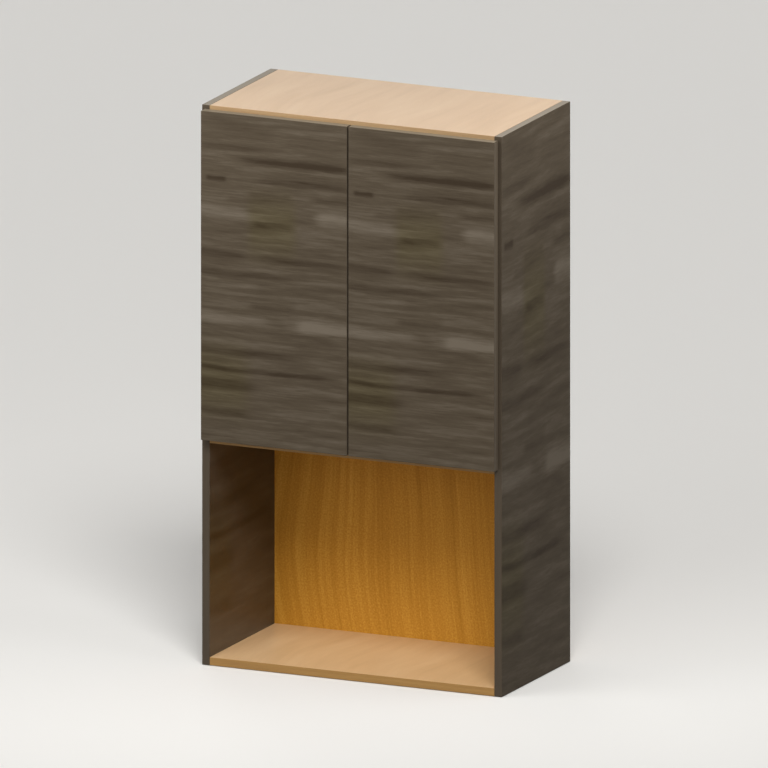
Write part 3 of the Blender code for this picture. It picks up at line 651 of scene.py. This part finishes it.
# Edge of the same ply: its layers show as lines about a millimetre and a half apart
BIRCH_PLIES = PrintedGrain(
    name="birch_ply_edge", dark="8A6742", middle="BE9868", pale="D6B283",
    broad=Streaks(4000.0, 1.5, 1.6), fine=Streaks(30.0, 0.8, 0.3), fleck=Streaks(6.0, 0.7, 0.2),
    wander_mm=0.1, roughness=(0.65, 0.8), relief_mm=0.1)

# Raw particle board where the melamine is cut away: sandy, with chips about two millimetres across
CHIPBOARD = Mottled(name="raw_chipboard", dark="8D6B45", pale="C7A679", speck_mm=2.0,
                    roughness=(0.75, 0.9), relief_mm=0.3)

# Bare hardboard on the back's rear face: brown, slightly furry
HARDBOARD = Mottled(name="bare_hardboard", dark="5F4228", pale="7C5A38", speck_mm=1.6,
                    roughness=(0.7, 0.85), relief_mm=0.2)

# Fluted beech of the dowels: pale and bare
BEECH_WOOD = Mottled(name="bare_beech", dark="B88F60", pale="D0AA7C", speck_mm=1.2,
                     roughness=(0.65, 0.8), relief_mm=0.1)

# Nickel-plated pressed steel: bright, warm grey, with a soft polish that clouds a little from place to place
NICKEL = Mottled(name="nickel_plated_steel", dark="B0ABA2", pale="BAB5AC", speck_mm=6.0,
                 roughness=(0.24, 0.32), relief_mm=0.01, metallic=1.0)

# Die-cast zinc: duller and cooler than the nickel, with a cast skin drawn coarser than it is, so it shows
ZINC = Mottled(name="die_cast_zinc", dark="85868A", pale="999A9E", speck_mm=1.5,
               roughness=(0.38, 0.5), relief_mm=0.03, metallic=1.0)

# Moulded grey acetal: even, with a spark-eroded texture drawn coarser than it is, so it shows
GREY_ACETAL = Mottled(name="grey_acetal", dark="55565A", pale="606165", speck_mm=0.8,
                      roughness=(0.42, 0.52), relief_mm=0.03)

# Moulded pale acetal of the plungers: the same texture, a little smoother
PALE_ACETAL = Mottled(name="pale_acetal", dark="B4B4B0", pale="C0C0BC", speck_mm=0.8,
                      roughness=(0.35, 0.45), relief_mm=0.02)


@dataclass
class Board:
    """A flat panel: its node's shape with the outer edges eased and a grain map on every face."""

    node: str
    slot: Slot
    face: PrintedGrain
    grain: Axis
    ease_mm: float
    body: str = CARCASS
    stretch: float = 1.0
    core: Mottled = CHIPBOARD
    other_sides: Mapping[Side, Finish] = field(default_factory=dict)

    EASE_STEPS = 3
    FACE_INDEX = 0
    CORE_INDEX = 1
    OTHERS_INDEX = 2

    @cached_property
    def box(self) -> tuple[Vector, Vector]:
        """Lowest and highest corner of the board."""
        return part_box(self.node)

    def build(self, nodes: Nodes) -> None:
        """Make the board and let it stand for its node.

        Args:
            nodes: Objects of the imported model.
        """
        bm = node_shape(nodes[self.node])
        self._share_out(bm)
        between_sides = [edge for edge in bm.edges if len(self._sides_at(edge.verts)) == 2]
        round_edges(bm, between_sides, self.ease_mm, self.EASE_STEPS)
        self._map_grain(bm)
        mesh = kept_mesh(bm, self.node + "_eased")
        for finish in (self.face, self.core, *self.other_sides.values()):
            mesh.materials.append(finish.material())
        mesh.shade_smooth()
        mesh.set_sharp_from_angle(angle=math.radians(BOARD_SHARP_DEG))
        piece = add_piece(self.node + "_board", mesh, self.body)
        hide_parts(self.node)
        even_faces(piece)

    def _lies_on(self, vert: BMVert, side: Side) -> bool:
        """Tell whether a point lies on a side of the board."""
        axis, corner = side.value
        return abs(vert.co[axis.value] - self.box[corner][axis.value]) < ON_PLANE

    def _sides_at(self, verts: Sequence[BMVert]) -> list[Side]:
        """Find the sides of the board that all of some points lie on."""
        return [side for side in Side if all(self._lies_on(vert, side) for vert in verts)]

    def _share_out(self, bm: BMesh) -> None:
        """Give holes and grooves the core's material, and some sides a finish of their own.

        Args:
            bm: The board's mesh.
        """
        others = list(self.other_sides)
        for face in bm.faces:
            sides = self._sides_at(face.verts)
            if not sides:
                face.material_index = self.CORE_INDEX
            elif sides[0] in others:
                face.material_index = self.OTHERS_INDEX + others.index(sides[0])
            else:
                face.material_index = self.FACE_INDEX

    def _map_grain(self, bm: BMesh) -> None:
        """Write the grain map: metres along the grain, then metres of print across it.

        Args:
            bm: The board's mesh.
        """
        layer = bm.loops.layers.uv.new(GRAIN_MAP)
        low, high = self.box
        size = high - low
        for face in bm.faces:
            normal = max(range(3), key=lambda k: abs(face.normal[k]))
            flat = [k for k in range(3) if k != normal]
            along = self.grain.value
            if along == normal:
                along = max(flat, key=lambda k: size[k])
            across = flat[0] if flat[1] == along else flat[1]
            for loop in face.loops:
                place = loop.vert.co
                loop[layer].uv = (place[along] - low[along], (high[across] - place[across]) * self.stretch)


@dataclass
class Fitting:
    """A metal, plastic or wooden node that keeps its shape, with softened edges and a finish."""

    node: str
    finish: Mottled
    soften_mm: float = 0.15

    SOFT_STEPS = 2
    SOFT_FROM_DEG = 40

    def dress(self, nodes: Nodes) -> None:
        """Give the node its finish and softened edges.

        Args:
            nodes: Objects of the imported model.
        """
        piece = nodes[self.node]
        piece.data.materials.clear()
        self._soften(piece)
        logger.info("fitting %s", self.node)

    def _soften(self, piece: Object) -> None:
        """Give a piece the finish and soft edges.

        Args:
            piece: The node's object, or a copy that stands for it.
        """
        piece.data.materials.append(self.finish.material())
        self._weld(piece, "one_skin")
        soft = piece.modifiers.new("soft_edges", "BEVEL")
        soft.width = self.soften_mm * MM
        soft.segments = self.SOFT_STEPS
        soft.limit_method = "ANGLE"
        soft.angle_limit = math.radians(self.SOFT_FROM_DEG)
        self._weld(piece, "joined_corners")
        even_faces(piece)
        piece.data.shade_smooth()

    @staticmethod
    def _weld(piece: Object, name: str) -> None:
        """Join a piece's coincident points with a modifier of some name."""
        weld = piece.modifiers.new(name, "WELD")
        weld.merge_threshold = SAME_POINT


@dataclass(frozen=True)
class Rounding:
    """Edges of a fitting that are rounded off, by the way they run and where they stand.

    The place is in millimetres from the fitting's seat, to either side of it, along the frame's other two
    axes. Without a place, the edges between the wide facets of a round outline are meant.
    """

    along: Axis
    radius_mm: float
    place_mm: tuple[float, float] | None = None

    STEPS = 5
    FACET_TURN_DEG = (15.0, 45.0)

    def apply(self, bm: BMesh, seat: Vector) -> None:
        """Round the edges off, measured from the fitting's seat."""
        round_edges(bm, [edge for edge in bm.edges if self._takes(edge, seat)], self.radius_mm, self.STEPS)

    def _takes(self, edge: BMEdge, seat: Vector) -> bool:
        """Tell whether an edge is one of those meant.

        Args:
            edge: Edge of the fitting.
            seat: Point that places are measured from.

        Returns:
            True for an edge that runs the right way and stands at the place.
        """
        start, end = (vert.co - seat for vert in edge.verts)
        across = [axis.value for axis in Axis if axis is not self.along]
        if any(abs(start[k] - end[k]) > ON_PLANE for k in across):
            return False
        if self.place_mm is not None:
            return all(abs(abs(start[k]) - place * MM) < ON_PLANE for k, place in zip(across, self.place_mm))
        least, most = self.FACET_TURN_DEG
        narrowest = min(face.calc_area() for face in edge.link_faces) / edge.calc_length()
        return least < math.degrees(edge.calc_face_angle()) < most and narrowest > 2 * self.radius_mm * MM


@dataclass
class RoundedFitting(Fitting):
    """A fitting with some corners rounded off, in a copy that stands for its node."""

    body: str = CARCASS
    slot: Slot = Slot.NICKEL_STEEL
    seat: Vector = field(default_factory=Vector)
    roundings: tuple[Rounding, ...] = ()

    def build(self, nodes: Nodes) -> None:
        """Make the rounded copy.

        Args:
            nodes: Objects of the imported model.
        """
        bm = node_shape(nodes[self.node])
        for rounding in self.roundings:
            rounding.apply(bm, self.seat)
        name = self.node + "_rounded"
        piece = add_piece(name, kept_mesh(bm, name), self.body)
        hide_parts(self.node)
        self._soften(piece)


def lathe(name: str, profile_mm: Sequence[tuple[float, float]], facets: int, finish: Mottled) -> Mesh:
    """Turn a profile about the local Z axis.

    Args:
        name: Name of the mesh.
        profile_mm: Radius and height of each point, in millimetres. A closed ring ends where it starts.
        facets: Steps round the axis.
        finish: Finish of the mesh.

    Returns:
        A smooth mesh with its sharp edges marked.
    """
    bm = bmesh.new()
    points = [bm.verts.new((radius * MM, 0.0, height * MM)) for radius, height in profile_mm]
    edges = [bm.edges.new(pair) for pair in zip(points, points[1:])]
    bmesh.ops.spin(bm, geom=points + edges, cent=(0.0, 0.0, 0.0), axis=(0.0, 0.0, 1.0),
                   angle=math.tau, steps=facets, use_merge=True)
    bmesh.ops.remove_doubles(bm, verts=bm.verts, dist=SAME_POINT)
    bmesh.ops.recalc_face_normals(bm, faces=bm.faces)
    mesh = kept_mesh(bm, name)
    mesh.materials.append(finish.material())
    mesh.shade_smooth()
    mesh.set_sharp_from_angle(angle=math.radians(TURNED_SHARP_DEG))
    return mesh


@dataclass(frozen=True)
class ScrewHead:
    """Pan head of a nickel-plated screw, with a cross recess.

    The dome's points and the cross are shares of the head's radius and height.
    """

    radius_mm: float
    height_mm: float

    FACETS = 24
    DOME = ((0.0, 0.0), (1.0, 0.0), (1.0, 0.3), (0.94, 0.6), (0.78, 0.84), (0.5, 0.96), (0.0, 1.0))
    CROSS_REACH = 0.56
    CROSS_HALF_WIDTH = 0.13
    CROSS_FLOOR = 0.35

    def mesh(self) -> Mesh:
        """Make the head's mesh, or give back the one already made.

        Returns:
            The mesh, with its underside at the origin and its dome up.
        """
        name = f"screw_head_{self.radius_mm:.1f}"
        if name in bpy.data.meshes:
            return bpy.data.meshes[name]
        dome = [(across * self.radius_mm, up * self.height_mm) for across, up in self.DOME]
        head = add_object("uncut_head", lathe("uncut_head", dome, self.FACETS, NICKEL))
        cross = add_object("cross_cutter", self._cross())
        cut = head.modifiers.new("recess", "BOOLEAN")
        cut.operation = "DIFFERENCE"
        cut.solver = "EXACT"
        cut.object = cross
        graph = bpy.context.evaluated_depsgraph_get()
        mesh = bpy.data.meshes.new_from_object(head.evaluated_get(graph))
        mesh.name = name
        for obj in (head, cross):
            bpy.data.objects.remove(obj, do_unlink=True)
        bm = bmesh.new()
        bm.from_mesh(mesh)
        bmesh.ops.remove_doubles(bm, verts=bm.verts, dist=SAME_POINT)
        bm.to_mesh(mesh)
        bm.free()
        mesh.set_sharp_from_angle(angle=math.radians(TURNED_SHARP_DEG))
        return mesh

    def _cross(self) -> Mesh:
        """Make the upright cross that cuts the recess.

        Returns:
            The cross's mesh.
        """
        reach = self.CROSS_REACH * self.radius_mm * MM
        half = self.CROSS_HALF_WIDTH * self.radius_mm * MM
        floor = self.CROSS_FLOOR * self.height_mm * MM
        arm = [(half, half), (half, reach), (-half, reach)]
        outline = []
        for _ in range(4):
            outline += arm
            arm = [(-y, x) for x, y in arm]
        bm = bmesh.new()
        face = bm.faces.new([bm.verts.new((x, y, floor)) for x, y in outline])
        risen = bmesh.ops.extrude_face_region(bm, geom=[face])["geom"]
        bmesh.ops.translate(bm, verts=[part for part in risen if isinstance(part, BMVert)],
                            vec=(0.0, 0.0, self.height_mm * MM))
        bmesh.ops.recalc_face_normals(bm, faces=bm.faces)
        return kept_mesh(bm, "cross_cutter")

    def place(self, name: str, body: str, seat: Vector, outwards: Vector) -> None:
        """Set a head with its underside on a seat of a body, facing outwards."""
        add_piece(name, self.mesh(), body, (seat, outwards))


@dataclass(frozen=True)
class FarLamp:
    """Even soft light from one direction: degrees round from the front and up, and the width of its disc."""

    name: str
    azimuth_deg: float
    elevation_deg: float
    spread_deg: float
    strength: float
    distance_m: float = 0.0

    def light(self) -> Light:
        """Make the light.

        Returns:
            A sun, which shines alike wherever it hangs.
        """
        light = bpy.data.lights.new(self.name, "SUN")
        light.energy = self.strength
        light.angle = math.radians(self.spread_deg)
        return light


@dataclass(frozen=True)
class NearLamp:
    """Square soft lamp near enough to light the object's upper half more than the lower."""

    name: str
    azimuth_deg: float
    elevation_deg: float
    distance_m: float
    size_m: float
    watts: float

    def light(self) -> Light:
        """Make the light.

        Returns:
            A square lamp.
        """
        light = bpy.data.lights.new(self.name, "AREA")
        light.shape = "SQUARE"
        light.size = self.size_m
        light.energy = self.watts
        return light


@dataclass
class Studio:
    """Pale floor, soft lights and a camera without perspective, round the object's box."""

    low: Vector
    high: Vector
    azimuth_deg: float = 24.577
    elevation_deg: float = 13.85
    view_height_m: float = 1.4206
    camera_distance_m: float = 6.0
    camera_reach_m: float = 200.0
    floor_half_m: float = 40.0
    floor_drop_mm: float = 1.0
    floor_seen: str = "E6E4E0"
    floor_bounced: str = "565452"
    floor_roughness: float = 0.9
    sky_colour: str = "FFFFFF"
    sky_seen: float = 0.95
    sky_cast: float = 0.05
    lamps: tuple[FarLamp | NearLamp, ...] = (
        FarLamp("key", 31.0, 46.0, 26.0, 2.52),
        FarLamp("fill", 0.0, 10.0, 60.0, 1.55),
        FarLamp("rear_fill", 215.0, 1.0, 30.0, 2.0),
        FarLamp("left_fill", -100.0, 1.0, 30.0, 1.2),
        NearLamp("front_softbox", -30.0, 45.0, 1.4, 0.8, 7.7),
        NearLamp("side_softbox", 88.0, 45.0, 1.2, 0.8, 5.3),
    )

    def build(self) -> None:
        """Set the stage. Gloss shows the white sky and no lamp, so that it never burns out."""
        self._floor()
        self._sky()
        for lamp in self.lamps:
            hung = self._hang(lamp.light(), lamp.azimuth_deg, lamp.elevation_deg, lamp.distance_m)
            hung.visible_glossy = False
        self._camera()
        bpy.context.scene.view_settings.view_transform = "Standard"

    @staticmethod
    def _seen_share(tree: NodeTree) -> Node:
        """Tell what is seen from what only bounces light.

        Args:
            tree: Node tree of the floor or the sky.

        Returns:
            One where the camera, a reflection or a clear piece looks, and nought elsewhere.
        """
        path = add_node(tree, "ShaderNodeLightPath").outputs
        first = add_node(tree, "ShaderNodeMath", {"operation": "MAXIMUM"},
                         {0: path["Is Camera Ray"], 1: path["Is Glossy Ray"]})
        return add_node(tree, "ShaderNodeMath", {"operation": "MAXIMUM"},
                        {0: first, 1: path["Is Transmission Ray"]})

    def _floor(self) -> None:
        """Lay the floor just under the object. It looks pale but bounces little light up."""
        bm = bmesh.new()
        bmesh.ops.create_grid(bm, x_segments=1, y_segments=1, size=self.floor_half_m)
        mesh = kept_mesh(bm, "floor")
        floor = add_object("floor", mesh)
        floor.location = (0.0, 0.0, self.low.z - self.floor_drop_mm * MM)
        material = bpy.data.materials.new("pale_floor")
        material.use_nodes = True
        tree = material.node_tree
        shader = tree.nodes["Principled BSDF"]
        paint = add_node(tree, "ShaderNodeMix",
                         {"data_type": "RGBA", MIX_FIRST: linear(self.floor_bounced),
                          MIX_SECOND: linear(self.floor_seen)}, {MIX_SHARE: self._seen_share(tree)})
        link(tree, paint.outputs[MIX_RESULT], shader.inputs["Base Color"])
        shader.inputs["Roughness"].default_value = self.floor_roughness
        mesh.materials.append(material)
        floor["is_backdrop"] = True

    def _sky(self) -> None:
        """Make it white all round, with less light from it than it shows."""
        world = bpy.data.worlds.new("studio")
        bpy.context.scene.world = world
        world.use_nodes = True
        tree = world.node_tree
        background = tree.nodes["Background"]
        background.inputs["Color"].default_value = linear(self.sky_colour)
        level = add_node(tree, "ShaderNodeMapRange", {"To Min": self.sky_cast, "To Max": self.sky_seen},
                         {"Value": self._seen_share(tree)})
        link(tree, level, background.inputs["Strength"])

    def _hang(self, data: ID, azimuth_deg: float, elevation_deg: float, distance_m: float) -> Object:
        """Hang a lamp or the camera so that it looks at the middle of the object.

        Args:
            data: The light or the camera.
            azimuth_deg: Degrees round from the front, to the viewer's right.
            elevation_deg: Degrees up.
            distance_m: Metres from the middle of the object.

        Returns:
            The new object.
        """
        turn = math.radians(azimuth_deg)
        rise = math.radians(elevation_deg)
        back = Vector((math.sin(turn) * math.cos(rise), -math.cos(turn) * math.cos(rise), math.sin(rise)))
        hung = add_object(data.name, data)
        hung.location = (self.low + self.high) / 2 + back * distance_m
        hung.rotation_euler = (-back).to_track_quat("-Z", "Y").to_euler()
        return hung

    def _camera(self) -> None:
        """Look along the photograph's direction."""
        data = bpy.data.cameras.new("camera")
        data.type = "ORTHO"
        data.ortho_scale = self.view_height_m
        data.clip_end = self.camera_reach_m
        camera = self._hang(data, self.azimuth_deg, self.elevation_deg, self.camera_distance_m)
        bpy.context.scene.camera = camera


@dataclass
class Carcass:
    """Sides, fixed horizontal panels, bands, back, rails and dowels."""

    side_ease_mm: float = 0.6
    panel_ease_mm: float = 0.2
    band_ease_mm: float = 0.4
    back_ease_mm: float = 0.2
    rail_ease_mm: float = 0.6
    dowel_soften_mm: float = 0.1

    def build(self, nodes: Nodes) -> None:
        """Make every board of the carcass and dress its dowels.

        Args:
            nodes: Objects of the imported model.
        """
        for board in self._sides() + self._horizontals() + self._rear():
            board.build(nodes)
        for panel in ("top", "fixed_shelf", "bottom"):
            for hand in Hand:
                for row in Row:
                    Fitting(f"dowel_{panel}_{hand}_{row}", BEECH_WOOD, self.dowel_soften_mm).dress(nodes)

    def _sides(self) -> list[Board]:
        """Plan the full-height sides, with the doors' print drawn out over their greater height.

        Returns:
            The two sides.
        """
        door_low, door_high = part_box("door_left")
        side_low, side_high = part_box("side_left")
        stretch = (door_high.z - door_low.z) / (side_high.z - side_low.z)
        inner_faces = {Hand.LEFT: Side.RIGHT, Hand.RIGHT: Side.LEFT}
        # Top edges take the paler strip, which is painted sheen; front edges take the deeper strip, which is
        # painted shade
        edges = {Side.REAR: CHIPBOARD, Side.UP: PAINTED_SHEEN_TOP_STRIP, Side.FRONT: SHADED_FRONT_STRIP}
        # Each inner face takes the deeper copy of the print, which is painted shade
        return [Board(f"side_{hand}", Slot.DARK_LAMINATE, DARK_OAK, Axis.Y, self.side_ease_mm,
                      stretch=stretch, other_sides={**edges, inner_face: SHADED_DARK_OAK_INSIDE})
                for hand, inner_face in inner_faces.items()]

    def _horizontals(self) -> list[Board]:
        """Plan the top, fixed shelf and bottom, each with a band on its front edge.

        Returns:
            The three panels and their bands.
        """
        # The top's deeper beech is painted shade, and the paler beech of the shelf and bottom is painted
        # light
        sheets = {"top_panel": SHADED_BEECH_TOP, "fixed_shelf": BEECH, "bottom_panel": BEECH}
        panels = [Board(node, Slot.BEECH_LAMINATE, sheet, Axis.Y, self.panel_ease_mm,
                        other_sides={Side.REAR: CHIPBOARD}) for node, sheet in sheets.items()]
        # The top's greyer band is painted sheen
        strips = {"top": SHEEN_BEECH_TOP_EDGE, "fixed_shelf": BEECH_EDGE, "bottom": BEECH_EDGE}
        bands = [Board(panel + "_edge_band", Slot.BEECH_EDGING, strip, Axis.X, self.band_ease_mm)
                 for panel, strip in strips.items()]
        return panels + bands

    def _rear(self) -> list[Board]:
        """Plan the thin back with a bare rear face, and the two plywood rails behind it.

        Returns:
            The back and the rails.
        """
        back = Board("back_panel", Slot.BACK_VENEER, AMBER_BACK, Axis.Z, self.back_ease_mm,
                     core=HARDBOARD, other_sides={Side.REAR: HARDBOARD})
        plies = dict.fromkeys((Side.RIGHT, Side.LEFT, Side.UP, Side.DOWN), BIRCH_PLIES)
        rails = [Board(f"hanging_rail_{level}", Slot.RAIL_PLYWOOD, BIRCH_FACE, Axis.X, self.rail_ease_mm,
                       other_sides=plies) for level in Level]
        return [back] + rails


@dataclass
class LooseShelf:
    """Adjustable shelf with its band, on four turned pins."""

    node: str = "adjustable_shelf"
    shelf_ease_mm: float = 0.2
    band_ease_mm: float = 0.4
    pin_soften_mm: float = 0.3

    def build(self, nodes: Nodes) -> None:
        """Make the shelf and dress its pins.

        Args:
            nodes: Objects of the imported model.
        """
        Board(self.node, Slot.BEECH_LAMINATE, BEECH, Axis.Y, self.shelf_ease_mm).build(nodes)
        Board(self.node + "_edge_band", Slot.BEECH_EDGING, BEECH_EDGE, Axis.X, self.band_ease_mm).build(nodes)
        for hand in Hand:
            for row in Row:
                Fitting(f"shelf_pin_{hand}_{row}", NICKEL, self.pin_soften_mm).dress(nodes)


@dataclass
class Hinge:
    """Concealed hinge: a cup in the door, an arm on its plate, two links, and the screws that hold them.

    Lengths are in millimetres. Places on the arm are measured back from the cabinet's front edges, and
    heights from the side's inner face.
    """

    hand: Hand
    level: Level
    wing_height: float = 1.8
    wing_screw_spread: float = 16.0
    flange_shift: float = 5.5
    cup_screw_spread: float = 22.5
    arm_height: float = 16.1
    arm_screw_places: tuple[float, float] = (22.0, 49.0)
    plate_soften: float = 0.5
    arm_soften: float = 0.6
    cup_soften: float = 0.15
    plate_corners: tuple[Rounding, ...] = (
        Rounding(Axis.X, 8.0, (9.0, 23.0)),
        Rounding(Axis.X, 5.0, (21.0, 6.0)),
    )
    arm_corners: tuple[Rounding, ...] = (Rounding(Axis.X, 5.0, (23.0, 6.5)),)
    flange_ends: tuple[Rounding, ...] = (Rounding(Axis.Y, 1.5),)
    plate_screw: ScrewHead = ScrewHead(3.4, 1.7)
    cup_screw: ScrewHead = ScrewHead(3.6, 1.3)
    arm_screw: ScrewHead = ScrewHead(3.0, 1.0)

    @property
    def stem(self) -> str:
        """Start of the hinge's node names."""
        return f"hinge_{self.hand}_{self.level}"

    def build(self, nodes: Nodes) -> None:
        """Make the hinge's plate, arm and cup, dress its links and set its screws.

        Args:
            nodes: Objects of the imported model.
        """
        seat = self._seat()
        RoundedFitting(self.stem + "_plate", ZINC, self.plate_soften, CARCASS, Slot.ZINC_CASTING, seat,
                       self.plate_corners).build(nodes)
        RoundedFitting(self.stem + "_arm", NICKEL, self.arm_soften, seat=seat,
                       roundings=self.arm_corners).build(nodes)
        RoundedFitting(self.stem + "_cup", NICKEL, self.cup_soften, self.hand.door_body,
                       roundings=self.flange_ends).build(nodes)
        for part in ("outer_link", "inner_link"):
            Fitting(f"{self.stem}_{part}", NICKEL).dress(nodes)
        self._fasten_plate(seat)
        self._fasten_cup()

    def _seat(self) -> Vector:
        """Find the middle of the plate on the side's inner face.

        Returns:
            That point.
        """
        low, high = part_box(self.stem + "_plate")
        side_low, side_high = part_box(f"side_{self.hand}")
        seat = (low + high) / 2
        seat.x = side_low.x if self.hand is Hand.RIGHT else side_high.x
        return seat

    def _fasten_plate(self, middle: Vector) -> None:
        """Set the screws through the plate's wings, and the arm's fixing and adjusting screws.

        Args:
            middle: Middle of the plate on the side's inner face.
        """
        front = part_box(f"side_{self.hand}")[0].y
        inwards = Vector((self.hand.inwards, 0.0, 0.0))
        for word, way in SCREW_ENDS:
            seat = middle + inwards * self.wing_height * MM
            seat.z += way * self.wing_screw_spread * MM
            self.plate_screw.place(f"{self.stem}_plate_screw_{word}", CARCASS, seat, inwards)
        for row, place in zip(Row, self.arm_screw_places):
            seat = middle + inwards * self.arm_height * MM
            seat.y = front + place * MM
            self.arm_screw.place(f"{self.stem}_arm_screw_{row}", CARCASS, seat, inwards)

    def _fasten_cup(self) -> None:
        """Set the screws through the cup's flange into the door's back."""
        low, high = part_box(self.stem + "_cup")
        for word, way in SCREW_ENDS:
            seat = Vector(((low.x + high.x) / 2 + self.hand.inwards * self.flange_shift * MM, high.y,
                           (low.z + high.z) / 2 + way * self.cup_screw_spread * MM))
            self.cup_screw.place(f"{self.stem}_cup_screw_{word}", self.hand.door_body, seat, TO_WALL)


@dataclass
class Latch:
    """Push latch under the top panel: a moulded housing, a spring plunger and a strike on the door.

    Lengths are in millimetres. The collar round the plunger is a ring with chamfers at its bore and rim.
    """

    hand: Hand
    housing_soften: float = 0.6
    plunger_soften: float = 0.4
    strike_soften: float = 0.2
    strike_rim: tuple[Rounding, ...] = (Rounding(Axis.Y, 1.3),)
    collar_profile: tuple[tuple[float, float], ...] = (
        (4.5, 0.0), (6.4, 0.0), (6.4, 0.72), (5.92, 1.2), (4.86, 1.2), (4.5, 0.84), (4.5, 0.0))
    collar_facets: int = 32
    screw_from_end: float = 12.0
    screw: ScrewHead = ScrewHead(2.6, 1.0)

    def build(self, nodes: Nodes) -> None:
        """Dress the latch's nodes, and add its strike, collar and screws.

        Args:
            nodes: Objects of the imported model.
        """
        housing = f"latch_housing_{self.hand}"
        plunger = f"latch_plunger_{self.hand}"
        Fitting(housing, GREY_ACETAL, self.housing_soften).dress(nodes)
        Fitting(plunger, PALE_ACETAL, self.plunger_soften).dress(nodes)
        RoundedFitting(f"latch_strike_{self.hand}", NICKEL, self.strike_soften, self.hand.door_body,
                       roundings=self.strike_rim).build(nodes)
        low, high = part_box(housing)
        plunger_low, plunger_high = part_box(plunger)
        seat = (plunger_low + plunger_high) / 2
        seat.y = low.y
        ring = lathe("latch_collar", self.collar_profile, self.collar_facets, GREY_ACETAL)
        add_piece(f"latch_collar_{self.hand}", ring, CARCASS, (seat, TO_FRONT))
        inset = self.screw_from_end * MM
        for row, y in zip(Row, (low.y + inset, high.y - inset)):
            seat = Vector(((low.x + high.x) / 2, y, low.z))
            self.screw.place(f"latch_screw_{self.hand}_{row}", CARCASS, seat, TO_FLOOR)


@dataclass
class Door:
    """One door, with its two hinges and its latch."""

    hand: Hand
    ease_mm: float = 0.8

    def build(self, nodes: Nodes) -> None:
        """Make the door's board, its hinges and its latch.

        Args:
            nodes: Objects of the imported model.
        """
        # The top edge takes the paler strip, which is painted sheen
        edges = {Side.UP: PAINTED_SHEEN_TOP_STRIP, Side.DOWN: DOOR_STRIP, Side.LEFT: DOOR_STRIP, Side.RIGHT: DOOR_STRIP}
        Board(f"door_{self.hand}", Slot.DARK_LAMINATE, DARK_OAK, Axis.X, self.ease_mm, self.hand.door_body,
              other_sides=edges).build(nodes)
        for level in Level:
            Hinge(self.hand, level).build(nodes)
        Latch(self.hand).build(nodes)


def main() -> None:
    """Build the cabinet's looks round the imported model."""
    logging.basicConfig(level=logging.INFO, format="%(name)s: %(message)s")
    for obj in list(bpy.data.objects):
        bpy.data.objects.remove(obj, do_unlink=True)
    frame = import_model()
    cad_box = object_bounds()
    nodes = frame["nodes"]
    Studio(*cad_box).build()
    Carcass().build(nodes)
    LooseShelf().build(nodes)
    for hand in Hand:
        Door(hand).build(nodes)


if __name__ == "__main__":
    main()
